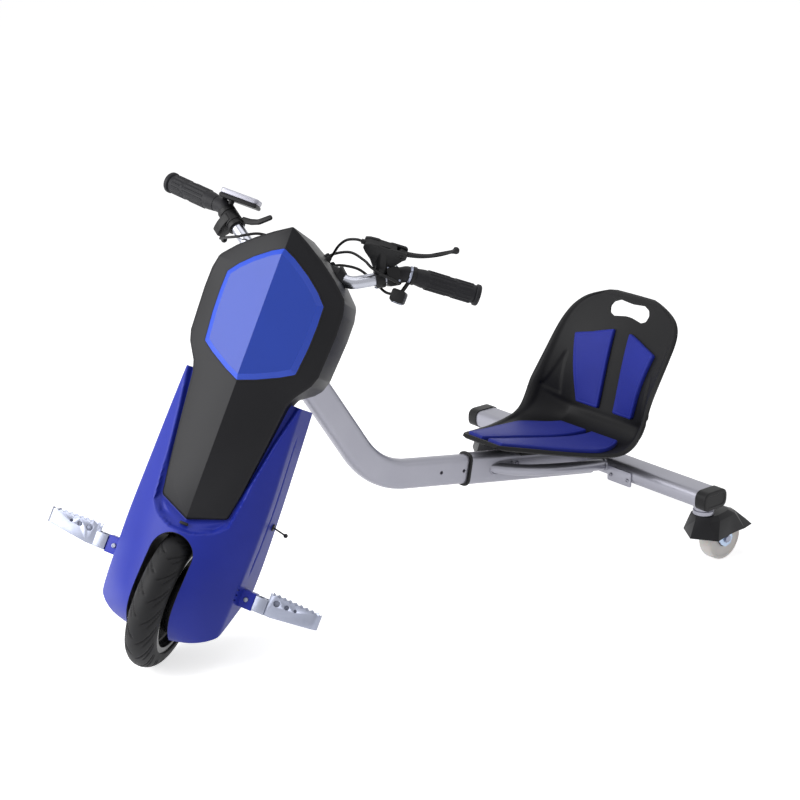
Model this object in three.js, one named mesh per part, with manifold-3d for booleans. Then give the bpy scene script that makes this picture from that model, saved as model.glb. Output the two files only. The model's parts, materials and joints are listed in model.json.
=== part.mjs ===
// Three-wheeled drift scooter: a steered front drive unit with its fairing, bars
// and foot pegs, a bent main tube, and a sliding rear frame with seat and casters.
// Millimetres, +Z up, the rider looks along -Y, the rider's left is +X.
import * as THREE from 'three';
import { mergeVertices } from 'three/addons/utils/BufferGeometryUtils.js';
import Module from 'manifold-3d';

const wasm = await Module();
wasm.setup();

// Fits shared by all pieces
const seatGap = 0.3;
const slideGap = 0.5;
const cutOverrun = 40;
const weldTolerance = 0.0001;
const degree = Math.PI / 180;

// Steering geometry
const rakeAngle = 28.05 * degree;
const steerAngle = 35.7 * degree;
const tubeSlope = 9.87 * degree;

// Front wheel
const wheelRadius = 127;
const tyreHalfWidth = 27;
const rimRadius = 93;
const rimHalfWidth = 19;
const rimDepth = 9;
const rimFlange = 5;
const motorRadius = 58;
const motorHalfWidth = 31;
const webHalfThickness = 5;
const axleRadius = 6;
const axleNutRadius = 11;
const axleNutLength = 9;

// Fork and steerer
const forkLegInnerHalf = 48;
const forkLegThickness = 8;
const forkLegDepth = 34;
const forkDropoutDrop = 16;
const forkCrownBottom = 372;
const forkCrownThickness = 14;
const forkCrownDepth = 44;
const steererRadius = 13;
const steererDrop = 24;

// Battery and controller
const batteryBottom = 163;
const batteryHeight = 150;
const batteryDepth = 58;
const controllerHeight = 44;
const finCount = 8;
const finDepth = 6;

// Head tube and bearings
const headTubeRadius = 20;
const headTubeWall = 4;
const headTubeStand = 26;
const headTubeFall = 47;
const bearingHeight = 9;
const bearingRadius = 23;

// Main tube
const mainTubeWidth = 28;
const mainTubeHeight = 56;
const mainTubeWall = 2;
const mainTubeCorner = 13;
const mainTubeJointFall = 46;
const mainTubeCornerY = 446.4;
const mainTubeCornerRise = 90.4;
const mainTubeBend = 180;
const mainTubeEnd = 418;
const lockHolePitch = 57;
const lockHoleRadius = 3.6;
const lockHoleFirst = 152.5;
const lockHoleCount = 5;

// Rear sleeve, collar and lock
const sleeveWall = 1.8;
const collarWall = 3;
const collarLength = 12;
const collarLip = 3;
const collarDistance = 221;
const bossRadius = 10;
const bossLength = 9;
const pinRadius = 3.2;
const knobRadius = 16;
const knobLength = 15;
const knobLobes = 8;
const knobLobeRadius = 3;

// Rear beam
const beamY = 1004.6;
const beamDepth = 60;
const beamThickness = 34;
const beamHalfLength = 328;
const beamWall = 2.5;
const beamCorner = 15;
const capLength = 18;
const capSkirt = 24;
const capWall = 1.5;
const capFaceThickness = 5;

// Curved side braces and seat carrier
const braceRadius = 11;
const braceWall = 2;
const braceStartY = 728;
const braceReachX = 62;
const carrierWidth = 90;
const carrierWall = 3;

// Seat
const seatFrontY = 703;
const seatLowRise = 43.6;
const seatLength = 415;
const seatRise = 267;
const seatHalfWidth = 157;
const seatWall = 5;
const seatWingReach = 74;
const handleShare = 0.945;
const handleHalfWidth = 46;
const handleHeight = 26;
const padThickness = 8;
const padGap = 10;
const padFrontHalf = 46;
const padSpread = 72;
const backPadLowHalf = 77;
const backPadTopHalf = 106;
const carrierStart = 770;
const carrierLength = 150;
const ribThickness = 6;
const ribSpacing = 70;
const ribHeight = 30;

// Casters
const casterInset = 29;
const casterTrail = 50;
const casterWheelRadius = 44.6;
const casterWheelHalfWidth = 15;
const casterBoltRadius = 4.5;
const casterHeadRadius = 8.1;
const casterHeadLength = 4.5;
const casterPlateThickness = 3;
const casterPlateWidth = 34;
const casterHeadGap = 2.8;
const casterHeadHalf = 8.5;
const casterRingRadius = 20;
const casterRingHeight = 17.4;
const kingpinRadius = 8;
const fenderRimHeight = 60;
const fenderShoulderRise = 2;
const fenderTopRise = 9;
const fenderWall = 2.5;
const fenderHalfWidth = 45;
const fenderFront = 34;
const fenderTail = 126;

// Fairing
const fairingWall = 3;
const fairingHalfWidth = 114;
const fairingDepth = 108;
const fairingBottom = -68;
const fairingTop = 372;
const fairingDraft = 6;
const slotHalfWidth = 38;
const slotTop = 111;
const recessLip = 9;
const recessWall = 3;
const recessDepth = 16;
const hemSlope = 1.09;
const hemFrontAhead = 46;
const rearCoverOffset = 24;
const rearCoverInset = 10;
const rearCoverTaper = 3;
const portHeight = 168;
const portOffset = 30;
const portRadius = 6;
const portLength = 14;
const strapLength = 24;
const strapDrop = 5;
const strapRadius = 1.5;
const plugRadius = 4;

// Black front cover
const coverWall = 3;
const coverHalfWidth = 120;
const coverRise = 46.5;
const coverBottom = 135.5;
const coverRidgeTop = 106.4;
const coverRidgeBottom = 73.8;
const coverSideDepth = 48;
const coverSkirtBack = 22;
const coverStand = 3.7;
const farBehind = 120;
const coverSlopeShare = 0.36;
const hexHalfWidth = 88.5;
const hexFall = 38;
const hexBottom = 379;
const hexThickness = 8;
const hexBevel = 10;

// Handlebar and what is on it
const barRadius = 11.1;
const barWall = 2;
const barHeight = 599;
const barOffset = 20;
const barInnerX = 96;
const barOuterX = 172;
const barRise = 49;
const barOuterOffset = 49.5;
const barEndX = 290;
const barEndRise = 60;
const barEndOffset = 95;
const barBendRadius = 30;
const gripRadius = 17.5;
const gripFlangeRadius = 20.5;
const gripFlangeLength = 5;
const gripLength = 112;
const gripEndWall = 3;
const clampRadius = 16;
const controlCorner = 4;
const grommetRadius = 17;
const grommetLength = 30;
const grommetStart = 52;
const clampWidth = 46;
const clampHeight = 34;
const clampCap = 6;
const throttleFrom = 21.5;
const throttleWidth = 22;
const throttleDepth = 30;
const throttleDrop = 34;
const displayFrom = 10;
const displayFootLength = 11;
const displayWidth = 70;
const displayDepth = 36;
const displayHeight = 16;
const displayX = 143;
const displayRise = 70;
const displayOffset = 36;
const paddleWidth = 9;
const paddleShift = 30;
const paddleReach = 60;
const paddleLean = 0.55;
const paddleThickness = 6;
const switchFrom = 14;
const switchWidth = 22;
const switchDepth = 38;
const switchHeight = 32;
const buttonRadius = 4.5;
const buttonDepth = 6;
const buttonTravel = 2;
const buttonLength = 6;
const hornX = 174;
const hornRise = 8;
const hornOffset = 44;
const hornWidth = 24;
const hornDepth = 24;
const hornHeight = 22;
const hornNeck = 7;
const hornStrap = 6;
const brakeFrom = 39;
const brakeWidth = 16;
const brakeLength = 66;
const brakeThickness = 20;
const leverPivotX = 160;
const leverPivotRise = 76;
const leverPivotOffset = 10;
const leverRise = 34;
const leverAhead = 42;
const leverRoot = 9;
const leverThickness = 8;
const leverLength = 80;
const leverCurve = 42;
const leverThin = 7;
const leverBall = 6;
const leverPinRadius = 3;
const cableRadius = 2.4;
const cableLead = 14;
const cableHoleLength = 12;
const switchEntryDrop = 10;
const throttleBall = 5.5;
const throttleBallDrop = 7;

// Foot pegs
const pegX = 138;
const pegHeight = 41;
const pegOffset = 21;
const pegHingeLength = 22;
const pegHingeDepth = 26;
const pegHingeHeight = 26;
const pegLength = 92;
const pegDepth = 24;
const pegPlate = 2.5;
const pegRootHeight = 40;
const pegTipHeight = 27;
const pegPinRadius = 3;
const pegPinMargin = 1;
const pegPinEdge = 1.5;
const toothCount = 9;
const toothDepth = 4;
const pegHoleRadius = 6;
const pegHoleRise = 13;
const pegTopFall = 4;
const pegArmDepth = 22;
const pegArmHeight = 30;

const colours = {
  housingBlue: { color: 0x2a35a8, roughness: 0.4, metalness: 0 },
  panelBlue: { color: 0x2440b0, roughness: 0.15, metalness: 0 },
  satinBlack: { color: 0x1c1c20, roughness: 0.5, metalness: 0 },
  rubberBlack: { color: 0x151515, roughness: 0.85, metalness: 0 },
  satinSilver: { color: 0xa9a9b8, roughness: 0.4, metalness: 0.7 },
  brightSilver: { color: 0xd0d2d6, roughness: 0.15, metalness: 1 },
  zinc: { color: 0xc6cad4, roughness: 0.35, metalness: 0.9 },
  padBlue: { color: 0x2a3590, roughness: 0.7, metalness: 0 },
  wheelWhite: { color: 0xe4e2dc, roughness: 0.4, metalness: 0 },
  packGreen: { color: 0x2b5a3a, roughness: 0.6, metalness: 0 },
};

// Heights along the steering axis that follow the bar and the fork crown
const steererTop = barHeight - steererDrop;
const headTubeBottom = forkCrownBottom + forkCrownThickness + headTubeStand;
const headTubeTop = steererTop - headTubeFall;
const coverTop = barHeight + coverRise;
const hexTop = coverTop - hexFall;

// Heights over the floor that follow the casters, and the casters' place under the beam
const casterHeadHeight = 2 * casterWheelRadius + casterHeadGap;
const fenderShoulderHeight = casterHeadHeight + fenderShoulderRise;
const fenderTopHeight = fenderShoulderHeight + fenderTopRise;
const beamHeight = fenderTopHeight + casterRingHeight + beamThickness / 2;
const mainTubeCornerZ = beamHeight + mainTubeCornerRise;
const seatLowZ = beamHeight + seatLowRise;
const casterX = beamHalfLength - casterInset;

const model = new THREE.Group();
const rakeGroup = new THREE.Group();
const steerGroup = new THREE.Group();

// Height of the wheel centre at which the leaning, steered tyre just meets the floor
const wheelLean = Math.sin(steerAngle) * Math.sin(rakeAngle);
const axleHeight = (wheelRadius - tyreHalfWidth) * Math.sqrt(1 - wheelLean * wheelLean) + tyreHalfWidth;
rakeGroup.position.set(0, 0, axleHeight);
rakeGroup.rotation.x = -rakeAngle;
steerGroup.rotation.z = steerAngle;
rakeGroup.add(steerGroup);
model.add(rakeGroup);

// A point of the steered unit: across, up along the steering axis, and forwards
const at = (across, up, ahead) => new THREE.Vector3(across, -ahead, up);

function toSolid(geometry) {
  const plain = geometry.clone();
  plain.deleteAttribute('normal');
  plain.deleteAttribute('uv');
  const merged = mergeVertices(plain, weldTolerance);
  const corners = [];
  const index = merged.index.array;
  for (let i = 0; i < index.length; i += 3) {
    const [a, b, c] = [index[i], index[i + 1], index[i + 2]];
    if (a !== b && b !== c && a !== c) corners.push(a, b, c);
  }
  const mesh = new wasm.Mesh({
    numProp: 3,
    vertProperties: new Float32Array(merged.attributes.position.array),
    triVerts: new Uint32Array(corners),
  });
  const solid = new wasm.Manifold(mesh);
  if (solid.volume() > 0) return solid;
  for (let i = 0; i < corners.length; i += 3) {
    [corners[i], corners[i + 1]] = [corners[i + 1], corners[i]];
  }
  return new wasm.Manifold(new wasm.Mesh({
    numProp: 3,
    vertProperties: new Float32Array(merged.attributes.position.array),
    triVerts: new Uint32Array(corners),
  }));
}

function toGeometry(solid) {
  const mesh = solid.getMesh();
  const geometry = new THREE.BufferGeometry();
  geometry.setAttribute('position', new THREE.BufferAttribute(new Float32Array(mesh.vertProperties), 3));
  geometry.setIndex(new THREE.BufferAttribute(new Uint32Array(mesh.triVerts), 1));
  geometry.computeVertexNormals();
  return geometry;
}

function addPart(name, solid, group, finish) {
  const mesh = new THREE.Mesh(toGeometry(solid), new THREE.MeshStandardMaterial(colours[finish]));
  mesh.name = name;
  group.add(mesh);
  return mesh;
}

function union(...solids) {
  return solids.reduce((whole, next) => whole.add(next));
}

// A solid made by pushing a flat shape from origin along across x up
function prism(shape, depth, origin, across, up, arcSteps = 2) {
  const geometry = new THREE.ExtrudeGeometry(shape, { depth, bevelEnabled: false, curveSegments: arcSteps });
  const ahead = new THREE.Vector3().crossVectors(across, up);
  const place = new THREE.Matrix4().makeBasis(across, up, ahead).setPosition(origin);
  geometry.applyMatrix4(place);
  return toSolid(geometry);
}

const axisX = new THREE.Vector3(1, 0, 0);
const axisY = new THREE.Vector3(0, 1, 0);
const axisZ = new THREE.Vector3(0, 0, 1);

function block(width, depth, height, centre) {
  const geometry = new THREE.BoxGeometry(width, depth, height);
  geometry.translate(centre.x, centre.y, centre.z);
  return toSolid(geometry);
}

function rod(radius, from, to, sides = 14) {
  const along = new THREE.Vector3().subVectors(to, from);
  const geometry = new THREE.CylinderGeometry(radius, radius, along.length(), sides);
  const turn = new THREE.Quaternion().setFromUnitVectors(axisY, along.clone().normalize());
  const middle = new THREE.Vector3().addVectors(from, to).multiplyScalar(0.5);
  geometry.applyMatrix4(new THREE.Matrix4().makeRotationFromQuaternion(turn).setPosition(middle));
  return toSolid(geometry);
}

// A turned piece: profile points are radius and distance along the axis
function turned(profile, origin, axis, sides = 20) {
  const points = profile.map(([radius, along]) => new THREE.Vector2(radius, along));
  const geometry = new THREE.LatheGeometry(points, sides);
  const turn = new THREE.Quaternion().setFromUnitVectors(axisY, axis.clone().normalize());
  geometry.applyMatrix4(new THREE.Matrix4().makeRotationFromQuaternion(turn).setPosition(origin));
  return toSolid(geometry);
}

function ringProfile(outer, inner, low, high) {
  return [[inner, low], [outer, low], [outer, high], [inner, high], [inner, low]];
}

function roundedOutline(width, height, radius, target = new THREE.Shape()) {
  const x = width / 2 - radius;
  const y = height / 2 - radius;
  target.absarc(x, y, radius, 0, Math.PI / 2);
  target.absarc(-x, y, radius, Math.PI / 2, Math.PI);
  target.absarc(-x, -y, radius, Math.PI, Math.PI * 1.5);
  target.absarc(x, -y, radius, Math.PI * 1.5, Math.PI * 2);
  target.closePath();
  return target;
}

function roundedPoints(width, height, radius, arcSteps) {
  const points = roundedOutline(width, height, radius).extractPoints(arcSteps).shape;
  return points.filter((point, i) => i === 0 || point.distanceTo(points[0]) > weldTolerance)
    .map((point) => [point.x, point.y]);
}

function circlePoints(radius, sides) {
  return Array.from({ length: sides }, (unused, i) => {
    const angle = (2 * Math.PI * i) / sides;
    return [radius * Math.cos(angle), radius * Math.sin(angle)];
  });
}

// Straight runs joined by bends through the given corners
function bentPath(corners, bendRadius, steps) {
  const points = [corners[0]];
  for (let i = 1; i < corners.length - 1; i += 1) {
    const before = corners[i - 1].clone().sub(corners[i]).normalize();
    const after = corners[i + 1].clone().sub(corners[i]).normalize();
    const cut = bendRadius / Math.tan(before.angleTo(after) / 2);
    const bend = new THREE.QuadraticBezierCurve3(corners[i].clone().addScaledVector(before, cut), corners[i],
      corners[i].clone().addScaledVector(after, cut));
    points.push(...bend.getPoints(steps));
  }
  points.push(corners[corners.length - 1]);
  return points;
}

// Carries an outline along a path without twisting it
function ringsAlong(outline, path, side, overrun = 0) {
  let across = side.clone();
  return path.map((point, i) => {
    const before = path[Math.max(0, i - 1)];
    const after = path[Math.min(path.length - 1, i + 1)];
    const first = point.clone().sub(before).normalize();
    const second = after.clone().sub(point).normalize();
    const ahead = first.add(second).normalize();
    across = across.clone().addScaledVector(ahead, -across.dot(ahead)).normalize();
    const up = new THREE.Vector3().crossVectors(ahead, across);
    const reach = i === 0 ? -overrun : (i === path.length - 1 ? overrun : 0);
    const centre = point.clone().addScaledVector(ahead, reach);
    return outline.map(([x, y]) => centre.clone().addScaledVector(across, x).addScaledVector(up, y));
  });
}

function hollowAlong(outer, inner, path, side) {
  return lofted(ringsAlong(outer, path, side)).subtract(lofted(ringsAlong(inner, path, side, cutOverrun)));
}

function outlineShape(points) {
  return new THREE.Shape(points.map(([x, y]) => new THREE.Vector2(x, y)));
}

// Moves every side of an outline outwards by a distance, or inwards if it is negative
function grown(points, distance) {
  const turn = Math.sign(THREE.ShapeUtils.area(points.map(([x, y]) => new THREE.Vector2(x, y))));
  return points.map((point, i) => {
    const before = points[(i + points.length - 1) % points.length];
    const after = points[(i + 1) % points.length];
    const first = new THREE.Vector2(point[0] - before[0], point[1] - before[1]).normalize();
    const second = new THREE.Vector2(after[0] - point[0], after[1] - point[1]).normalize();
    const outwards = new THREE.Vector2(first.y + second.y, -first.x - second.x).normalize();
    const reach = distance * turn / (outwards.x * first.y - outwards.y * first.x);
    return [point[0] + outwards.x * reach, point[1] + outwards.y * reach];
  });
}

function mirrored(halfPoints) {
  const other = halfPoints.filter(([x]) => x !== 0).map(([x, y]) => [-x, y]).reverse();
  return [...halfPoints, ...other];
}

// Skins a row of closed rings that all have the same number of points
function lofted(rings) {
  const count = rings[0].length;
  const positions = rings.flat().flatMap((point) => [point.x, point.y, point.z]);
  const faces = [];
  for (let level = 0; level < rings.length - 1; level += 1) {
    for (let i = 0; i < count; i += 1) {
      const a = level * count + i;
      const b = level * count + (i + 1) % count;
      faces.push(a, b, b + count, a, b + count, a + count);
    }
  }
  const capRing = (ring, base, flip) => {
    const centre = ring.reduce((sum, point) => sum.add(point), new THREE.Vector3()).divideScalar(count);
    const normal = new THREE.Vector3();
    for (let i = 0; i < count; i += 1) {
      const a = ring[i].clone().sub(centre);
      normal.add(a.cross(ring[(i + 1) % count].clone().sub(centre)));
    }
    normal.normalize();
    const across = ring[0].clone().sub(centre).normalize();
    const up = new THREE.Vector3().crossVectors(normal, across);
    const flat = ring.map((point) => {
      const offset = point.clone().sub(centre);
      return new THREE.Vector2(offset.dot(across), offset.dot(up));
    });
    for (const [a, b, c] of THREE.ShapeUtils.triangulateShape(flat, [])) {
      faces.push(base + a, flip ? base + c : base + b, flip ? base + b : base + c);
    }
  };
  capRing(rings[0], 0, true);
  capRing(rings[rings.length - 1], (rings.length - 1) * count, false);
  const geometry = new THREE.BufferGeometry();
  geometry.setAttribute('position', new THREE.BufferAttribute(new Float32Array(positions), 3));
  geometry.setIndex(faces);
  return toSolid(geometry);
}

// Front wheel: tyre, hub motor with rim, and fixed axle
function makeTyre() {
  const crownCentre = wheelRadius - tyreHalfWidth;
  const profile = [];
  const crownSteps = 8;
  for (let i = 0; i <= crownSteps; i += 1) {
    const angle = Math.PI * (i / crownSteps - 0.5);
    profile.push([crownCentre + tyreHalfWidth * Math.cos(angle), tyreHalfWidth * Math.sin(angle)]);
  }
  const bead = rimRadius + seatGap;
  const beadHalf = rimHalfWidth - seatGap;
  const flangeTop = rimRadius + rimFlange + seatGap;
  profile.push([flangeTop, tyreHalfWidth], [flangeTop, beadHalf], [bead, beadHalf], [bead, -beadHalf],
    [flangeTop, -beadHalf], [flangeTop, -tyreHalfWidth], profile[0]);
  return turned(profile, at(0, 0, 0), axisX, 44);
}

function makeHubMotor() {
  const bore = axleRadius + seatGap;
  const rimInner = rimRadius - rimDepth;
  const flange = rimHalfWidth + rimFlange;
  const half = [[bore, motorHalfWidth], [motorRadius, motorHalfWidth], [motorRadius, webHalfThickness],
    [rimInner, webHalfThickness], [rimInner, flange], [rimRadius + rimFlange, flange],
    [rimRadius + rimFlange, rimHalfWidth], [rimRadius, rimHalfWidth]];
  const profile = [...half, ...half.map(([radius, along]) => [radius, -along]).reverse(), half[0]];
  return turned(profile, at(0, 0, 0), axisX, 24);
}

const legOuter = forkLegInnerHalf + forkLegThickness;

function makeAxle() {
  const nutStart = legOuter + seatGap;
  const end = nutStart + axleNutLength;
  const nuts = [-1, 1].map((side) => rod(axleNutRadius, at(side * nutStart, 0, 0), at(side * end, 0, 0), 6));
  return union(rod(axleRadius, at(-end, 0, 0), at(end, 0, 0)), ...nuts);
}

function makeFork() {
  const legLength = forkCrownBottom + forkDropoutDrop;
  const legMiddle = forkCrownBottom - legLength / 2;
  const legs = [-1, 1].map((side) => {
    const centre = at(side * (forkLegInnerHalf + forkLegThickness / 2), legMiddle, 0);
    const bore = rod(axleRadius + seatGap, at(side * (forkLegInnerHalf - seatGap), 0, 0),
      at(side * (legOuter + seatGap), 0, 0));
    return block(forkLegThickness, forkLegDepth, legLength, centre).subtract(bore);
  });
  const crownMiddle = forkCrownBottom + forkCrownThickness / 2;
  const crown = block(2 * legOuter, forkCrownDepth, forkCrownThickness, at(0, crownMiddle, 0));
  const steerer = rod(steererRadius, at(0, crownMiddle, 0), at(0, steererTop, 0));
  return union(crown, steerer, ...legs);
}

// Battery and controller fill the space between the fork legs
const boxWidth = 2 * (forkLegInnerHalf - seatGap);
const boxAhead = batteryDepth / 2 - rearCoverOffset + fairingWall + seatGap;
const controllerBottom = batteryBottom + batteryHeight + seatGap;

function makeBattery() {
  return block(boxWidth, batteryDepth, batteryHeight, at(0, batteryBottom + batteryHeight / 2, boxAhead));
}

function makeController() {
  const middle = controllerBottom + controllerHeight / 2;
  const body = block(boxWidth, batteryDepth, controllerHeight, at(0, middle, boxAhead));
  const grooves = [];
  for (let i = 1; i < finCount; i += 1) {
    const across = boxWidth * (i / finCount - 0.5);
    const size = boxWidth / finCount / 2;
    grooves.push(block(size, 2 * finDepth, controllerHeight + cutOverrun,
      at(across, middle, boxAhead + batteryDepth / 2)));
  }
  return body.subtract(union(...grooves));
}

// Head tube with its two bearing cups, square to the steering axis but not steered
function makeHeadTube() {
  return turned(ringProfile(headTubeRadius, headTubeRadius - headTubeWall, headTubeBottom, headTubeTop),
    at(0, 0, 0), axisZ);
}

function makeBearing(bottom) {
  const ring = ringProfile(bearingRadius, steererRadius + seatGap, 0, bearingHeight);
  return turned(ring, at(0, bottom, 0), axisZ);
}

// Main tube in the middle plane: down from the head tube, round a bend, back
const steeringAxis = new THREE.Vector3(0, Math.sin(rakeAngle), Math.cos(rakeAngle));
const tubeDirection = new THREE.Vector3(0, Math.cos(tubeSlope), -Math.sin(tubeSlope));
const tubeUp = new THREE.Vector3(0, Math.sin(tubeSlope), Math.cos(tubeSlope));
const tubeCorner = new THREE.Vector3(0, mainTubeCornerY, mainTubeCornerZ);
const headJoint = new THREE.Vector3(0, 0, axleHeight).addScaledVector(steeringAxis,
  headTubeTop - mainTubeJointFall);
const alongTube = (distance, across = 0, up = 0) => tubeCorner.clone()
  .addScaledVector(tubeDirection, distance).addScaledVector(axisX, across).addScaledVector(tubeUp, up);

function makeMainTube() {
  const outer = roundedPoints(mainTubeWidth, mainTubeHeight, mainTubeCorner, 2);
  const inner = roundedPoints(mainTubeWidth - 2 * mainTubeWall, mainTubeHeight - 2 * mainTubeWall,
    mainTubeCorner - mainTubeWall, 2);
  const path = bentPath([headJoint, tubeCorner, alongTube(mainTubeEnd)], mainTubeBend, 6);
  const headPoint = (height) => new THREE.Vector3(0, 0, axleHeight).addScaledVector(steeringAxis, height);
  const head = rod(headTubeRadius + seatGap, headPoint(headTubeBottom - cutOverrun),
    headPoint(headTubeTop + cutOverrun), 20);
  const holes = [];
  for (let i = 0; i < lockHoleCount; i += 1) {
    const centre = lockHoleFirst + i * lockHolePitch;
    holes.push(rod(lockHoleRadius, alongTube(centre, -mainTubeWidth), alongTube(centre, mainTubeWidth), 8));
  }
  return hollowAlong(outer, inner, path, axisX).subtract(union(head, ...holes));
}

// Rear frame: sleeve, collar, lock knob, beam, braces and seat carrier
const sleeveInnerWidth = mainTubeWidth + 2 * slideGap;
const sleeveInnerHeight = mainTubeHeight + 2 * slideGap;
const sleeveWidth = sleeveInnerWidth + 2 * sleeveWall;
const sleeveHeight = sleeveInnerHeight + 2 * sleeveWall;
const sleeveCorner = mainTubeCorner + slideGap + sleeveWall;
const sleeveStart = collarDistance + collarLip + seatGap;
const lockDistance = lockHoleFirst + 2 * lockHolePitch;

function beamRun(from, to, growth) {
  const shape = roundedOutline(beamDepth + 2 * growth, beamThickness + 2 * growth, beamCorner + growth);
  return prism(shape, to - from, new THREE.Vector3(from, beamY, beamHeight), axisY, axisZ);
}

const beamSolid = (halfLength, growth) => beamRun(-halfLength, halfLength, growth);

function makeSleeve() {
  const length = (beamY - tubeCorner.y) / Math.cos(tubeSlope) - sleeveStart;
  const section = roundedOutline(sleeveWidth, sleeveHeight, sleeveCorner);
  section.holes.push(roundedOutline(sleeveInnerWidth, sleeveInnerHeight, mainTubeCorner + slideGap,
    new THREE.Path()));
  const sleeve = prism(section, length, alongTube(sleeveStart), axisX.clone().negate(), tubeUp);
  const face = -sleeveWidth / 2;
  const boss = rod(bossRadius, alongTube(lockDistance, face + sleeveWall / 2),
    alongTube(lockDistance, face - bossLength));
  const bore = rod(pinRadius + slideGap, alongTube(lockDistance, -sleeveWidth),
    alongTube(lockDistance, 0), 12);
  return sleeve.add(boss).subtract(bore).subtract(beamSolid(beamHalfLength, seatGap));
}

function tubePrism(growth, corner, length, from) {
  const shape = roundedOutline(growth + mainTubeWidth, growth + mainTubeHeight, corner);
  return prism(shape, length, alongTube(from), axisX.clone().negate(), tubeUp);
}

function makeCollar() {
  const outside = sleeveWidth - mainTubeWidth;
  const body = tubePrism(outside + 2 * collarWall, sleeveCorner + collarWall, collarLength, collarDistance);
  const pocket = tubePrism(outside + 2 * seatGap, sleeveCorner + seatGap, collarLength,
    sleeveStart - seatGap);
  const bore = tubePrism(2 * slideGap, mainTubeCorner + slideGap, collarLength + cutOverrun,
    collarDistance - cutOverrun / 2);
  return body.subtract(pocket).subtract(bore);
}

function makeKnob() {
  const face = -sleeveWidth / 2 - bossLength - seatGap;
  const pinEnd = -mainTubeWidth / 2 - seatGap;
  const pin = rod(pinRadius, alongTube(lockDistance, face), alongTube(lockDistance, pinEnd), 10);
  let knob = rod(knobRadius, alongTube(lockDistance, face), alongTube(lockDistance, face - knobLength), 16);
  for (let i = 0; i < knobLobes; i += 1) {
    const angle = (i * 2 * Math.PI) / knobLobes;
    const along = knobRadius * Math.cos(angle);
    const up = knobRadius * Math.sin(angle);
    knob = knob.subtract(rod(knobLobeRadius, alongTube(lockDistance + along, face + seatGap, up),
      alongTube(lockDistance + along, face - knobLength - seatGap, up), 6));
  }
  return knob.add(pin);
}

function makeBeam() {
  const outer = beamSolid(beamHalfLength - capFaceThickness - seatGap, 0);
  const inner = beamSolid(beamHalfLength, -beamWall);
  let beam = outer.subtract(inner);
  for (const side of [-1, 1]) {
    const centre = new THREE.Vector3(side * casterX, beamY, 0);
    const ring = ringProfile(casterRingRadius, kingpinRadius + seatGap, ringBottom,
      beamBottom + beamWall / 2);
    const pinHole = rod(kingpinRadius + seatGap, centre, centre.clone().setZ(beamHeight), 14);
    beam = beam.add(turned(ring, centre, axisZ, 16)).subtract(pinHole);
  }
  return beam;
}

// Beam end cap: a face and a skirt round the tube's end, cleared for the swivel ring, and a plug in it
function makeEndCap(side) {
  const run = (near, far, growth) => (side > 0 ? beamRun(beamHalfLength - far, beamHalfLength - near, growth)
    : beamRun(near - beamHalfLength, far - beamHalfLength, growth));
  const outside = run(0, capSkirt, seatGap + capWall);
  const inside = run(capFaceThickness, capSkirt + cutOverrun, seatGap);
  const plug = run(capFaceThickness / 2, capLength, -beamWall - seatGap);
  const ringTop = beamBottom + beamWall / 2 + seatGap;
  const ring = rod(casterRingRadius + slideGap, new THREE.Vector3(side * casterX, beamY, ringBottom),
    new THREE.Vector3(side * casterX, beamY, ringTop), 16);
  return outside.subtract(inside).add(plug).subtract(ring);
}

function bracePath(side) {
  const tubeHeightAt = (y) => tubeCorner.z - (y - tubeCorner.y) * Math.tan(tubeSlope);
  const startX = sleeveWidth / 2 + braceRadius + seatGap;
  const endZ = beamHeight;
  const startZ = tubeHeightAt(braceStartY);
  const drop = (y) => startZ + ((endZ - startZ) * (y - braceStartY)) / (beamY - braceStartY);
  const routeShares = [[0, 0], [0.35, 0.16], [0.75, 0.34], [0.95, 0.55], [1.05, 0.78], [1.1, 1]];
  const span = braceReachX - startX;
  const curve = new THREE.CatmullRomCurve3(routeShares.map(([out, back]) => {
    const y = braceStartY + back * (beamY - braceStartY);
    return new THREE.Vector3(side * (startX + out * span), y, drop(y));
  }));
  return curve.getSpacedPoints(9);
}

function makeBrace(side) {
  const tube = hollowAlong(circlePoints(braceRadius, 12), circlePoints(braceRadius - braceWall, 12),
    bracePath(side), axisX);
  return tube.subtract(beamSolid(beamHalfLength, seatGap));
}

// Seat: pan and back from one moulded skin with raised wings
// Middle line of the seat, front edge to top edge, as shares of its length and rise
const seatLineShares = [[0, 0.205], [0.235, 0.128], [0.475, 0.045], [0.62, 0.012], [0.73, 0], [0.8, 0.042],
  [0.826, 0.128], [0.855, 0.303], [0.904, 0.614], [0.95, 0.82], [1, 1]];
// Rows along that line: place, half width and wing height as shares
const seatRowShares = [[0, 0.34, 0], [0.08, 0.47, 0], [0.2, 0.67, 0], [0.355, 0.985, 0.06], [0.43, 1, 0.3],
  [0.51, 1, 0.75], [0.56, 1, 1], [0.605, 1, 1], [0.685, 0.985, 0.85], [0.77, 0.98, 0.6], [0.85, 0.975, 0.36],
  [0.91, 0.93, 0.18], [0.96, 0.78, 0.06], [1, 0.4, 0]];
const seatAcrossShares = [-1, -0.92, -0.82, -0.7, -0.58, -0.3, 0, 0.3, 0.58, 0.7, 0.82, 0.92, 1];
const wingStartShare = 0.58;
// Across a cushion: place, and share of its height there
const padAcrossShares = [[0, 0.45], [0.06, 0.85], [0.2, 1], [0.5, 1.08], [0.8, 1], [0.94, 0.85], [1, 0.45]];

const seatLine = new THREE.CatmullRomCurve3(seatLineShares.map(([back, rise]) => new THREE.Vector3(
  0, seatFrontY + back * seatLength, seatLowZ + rise * seatRise)));

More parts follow.
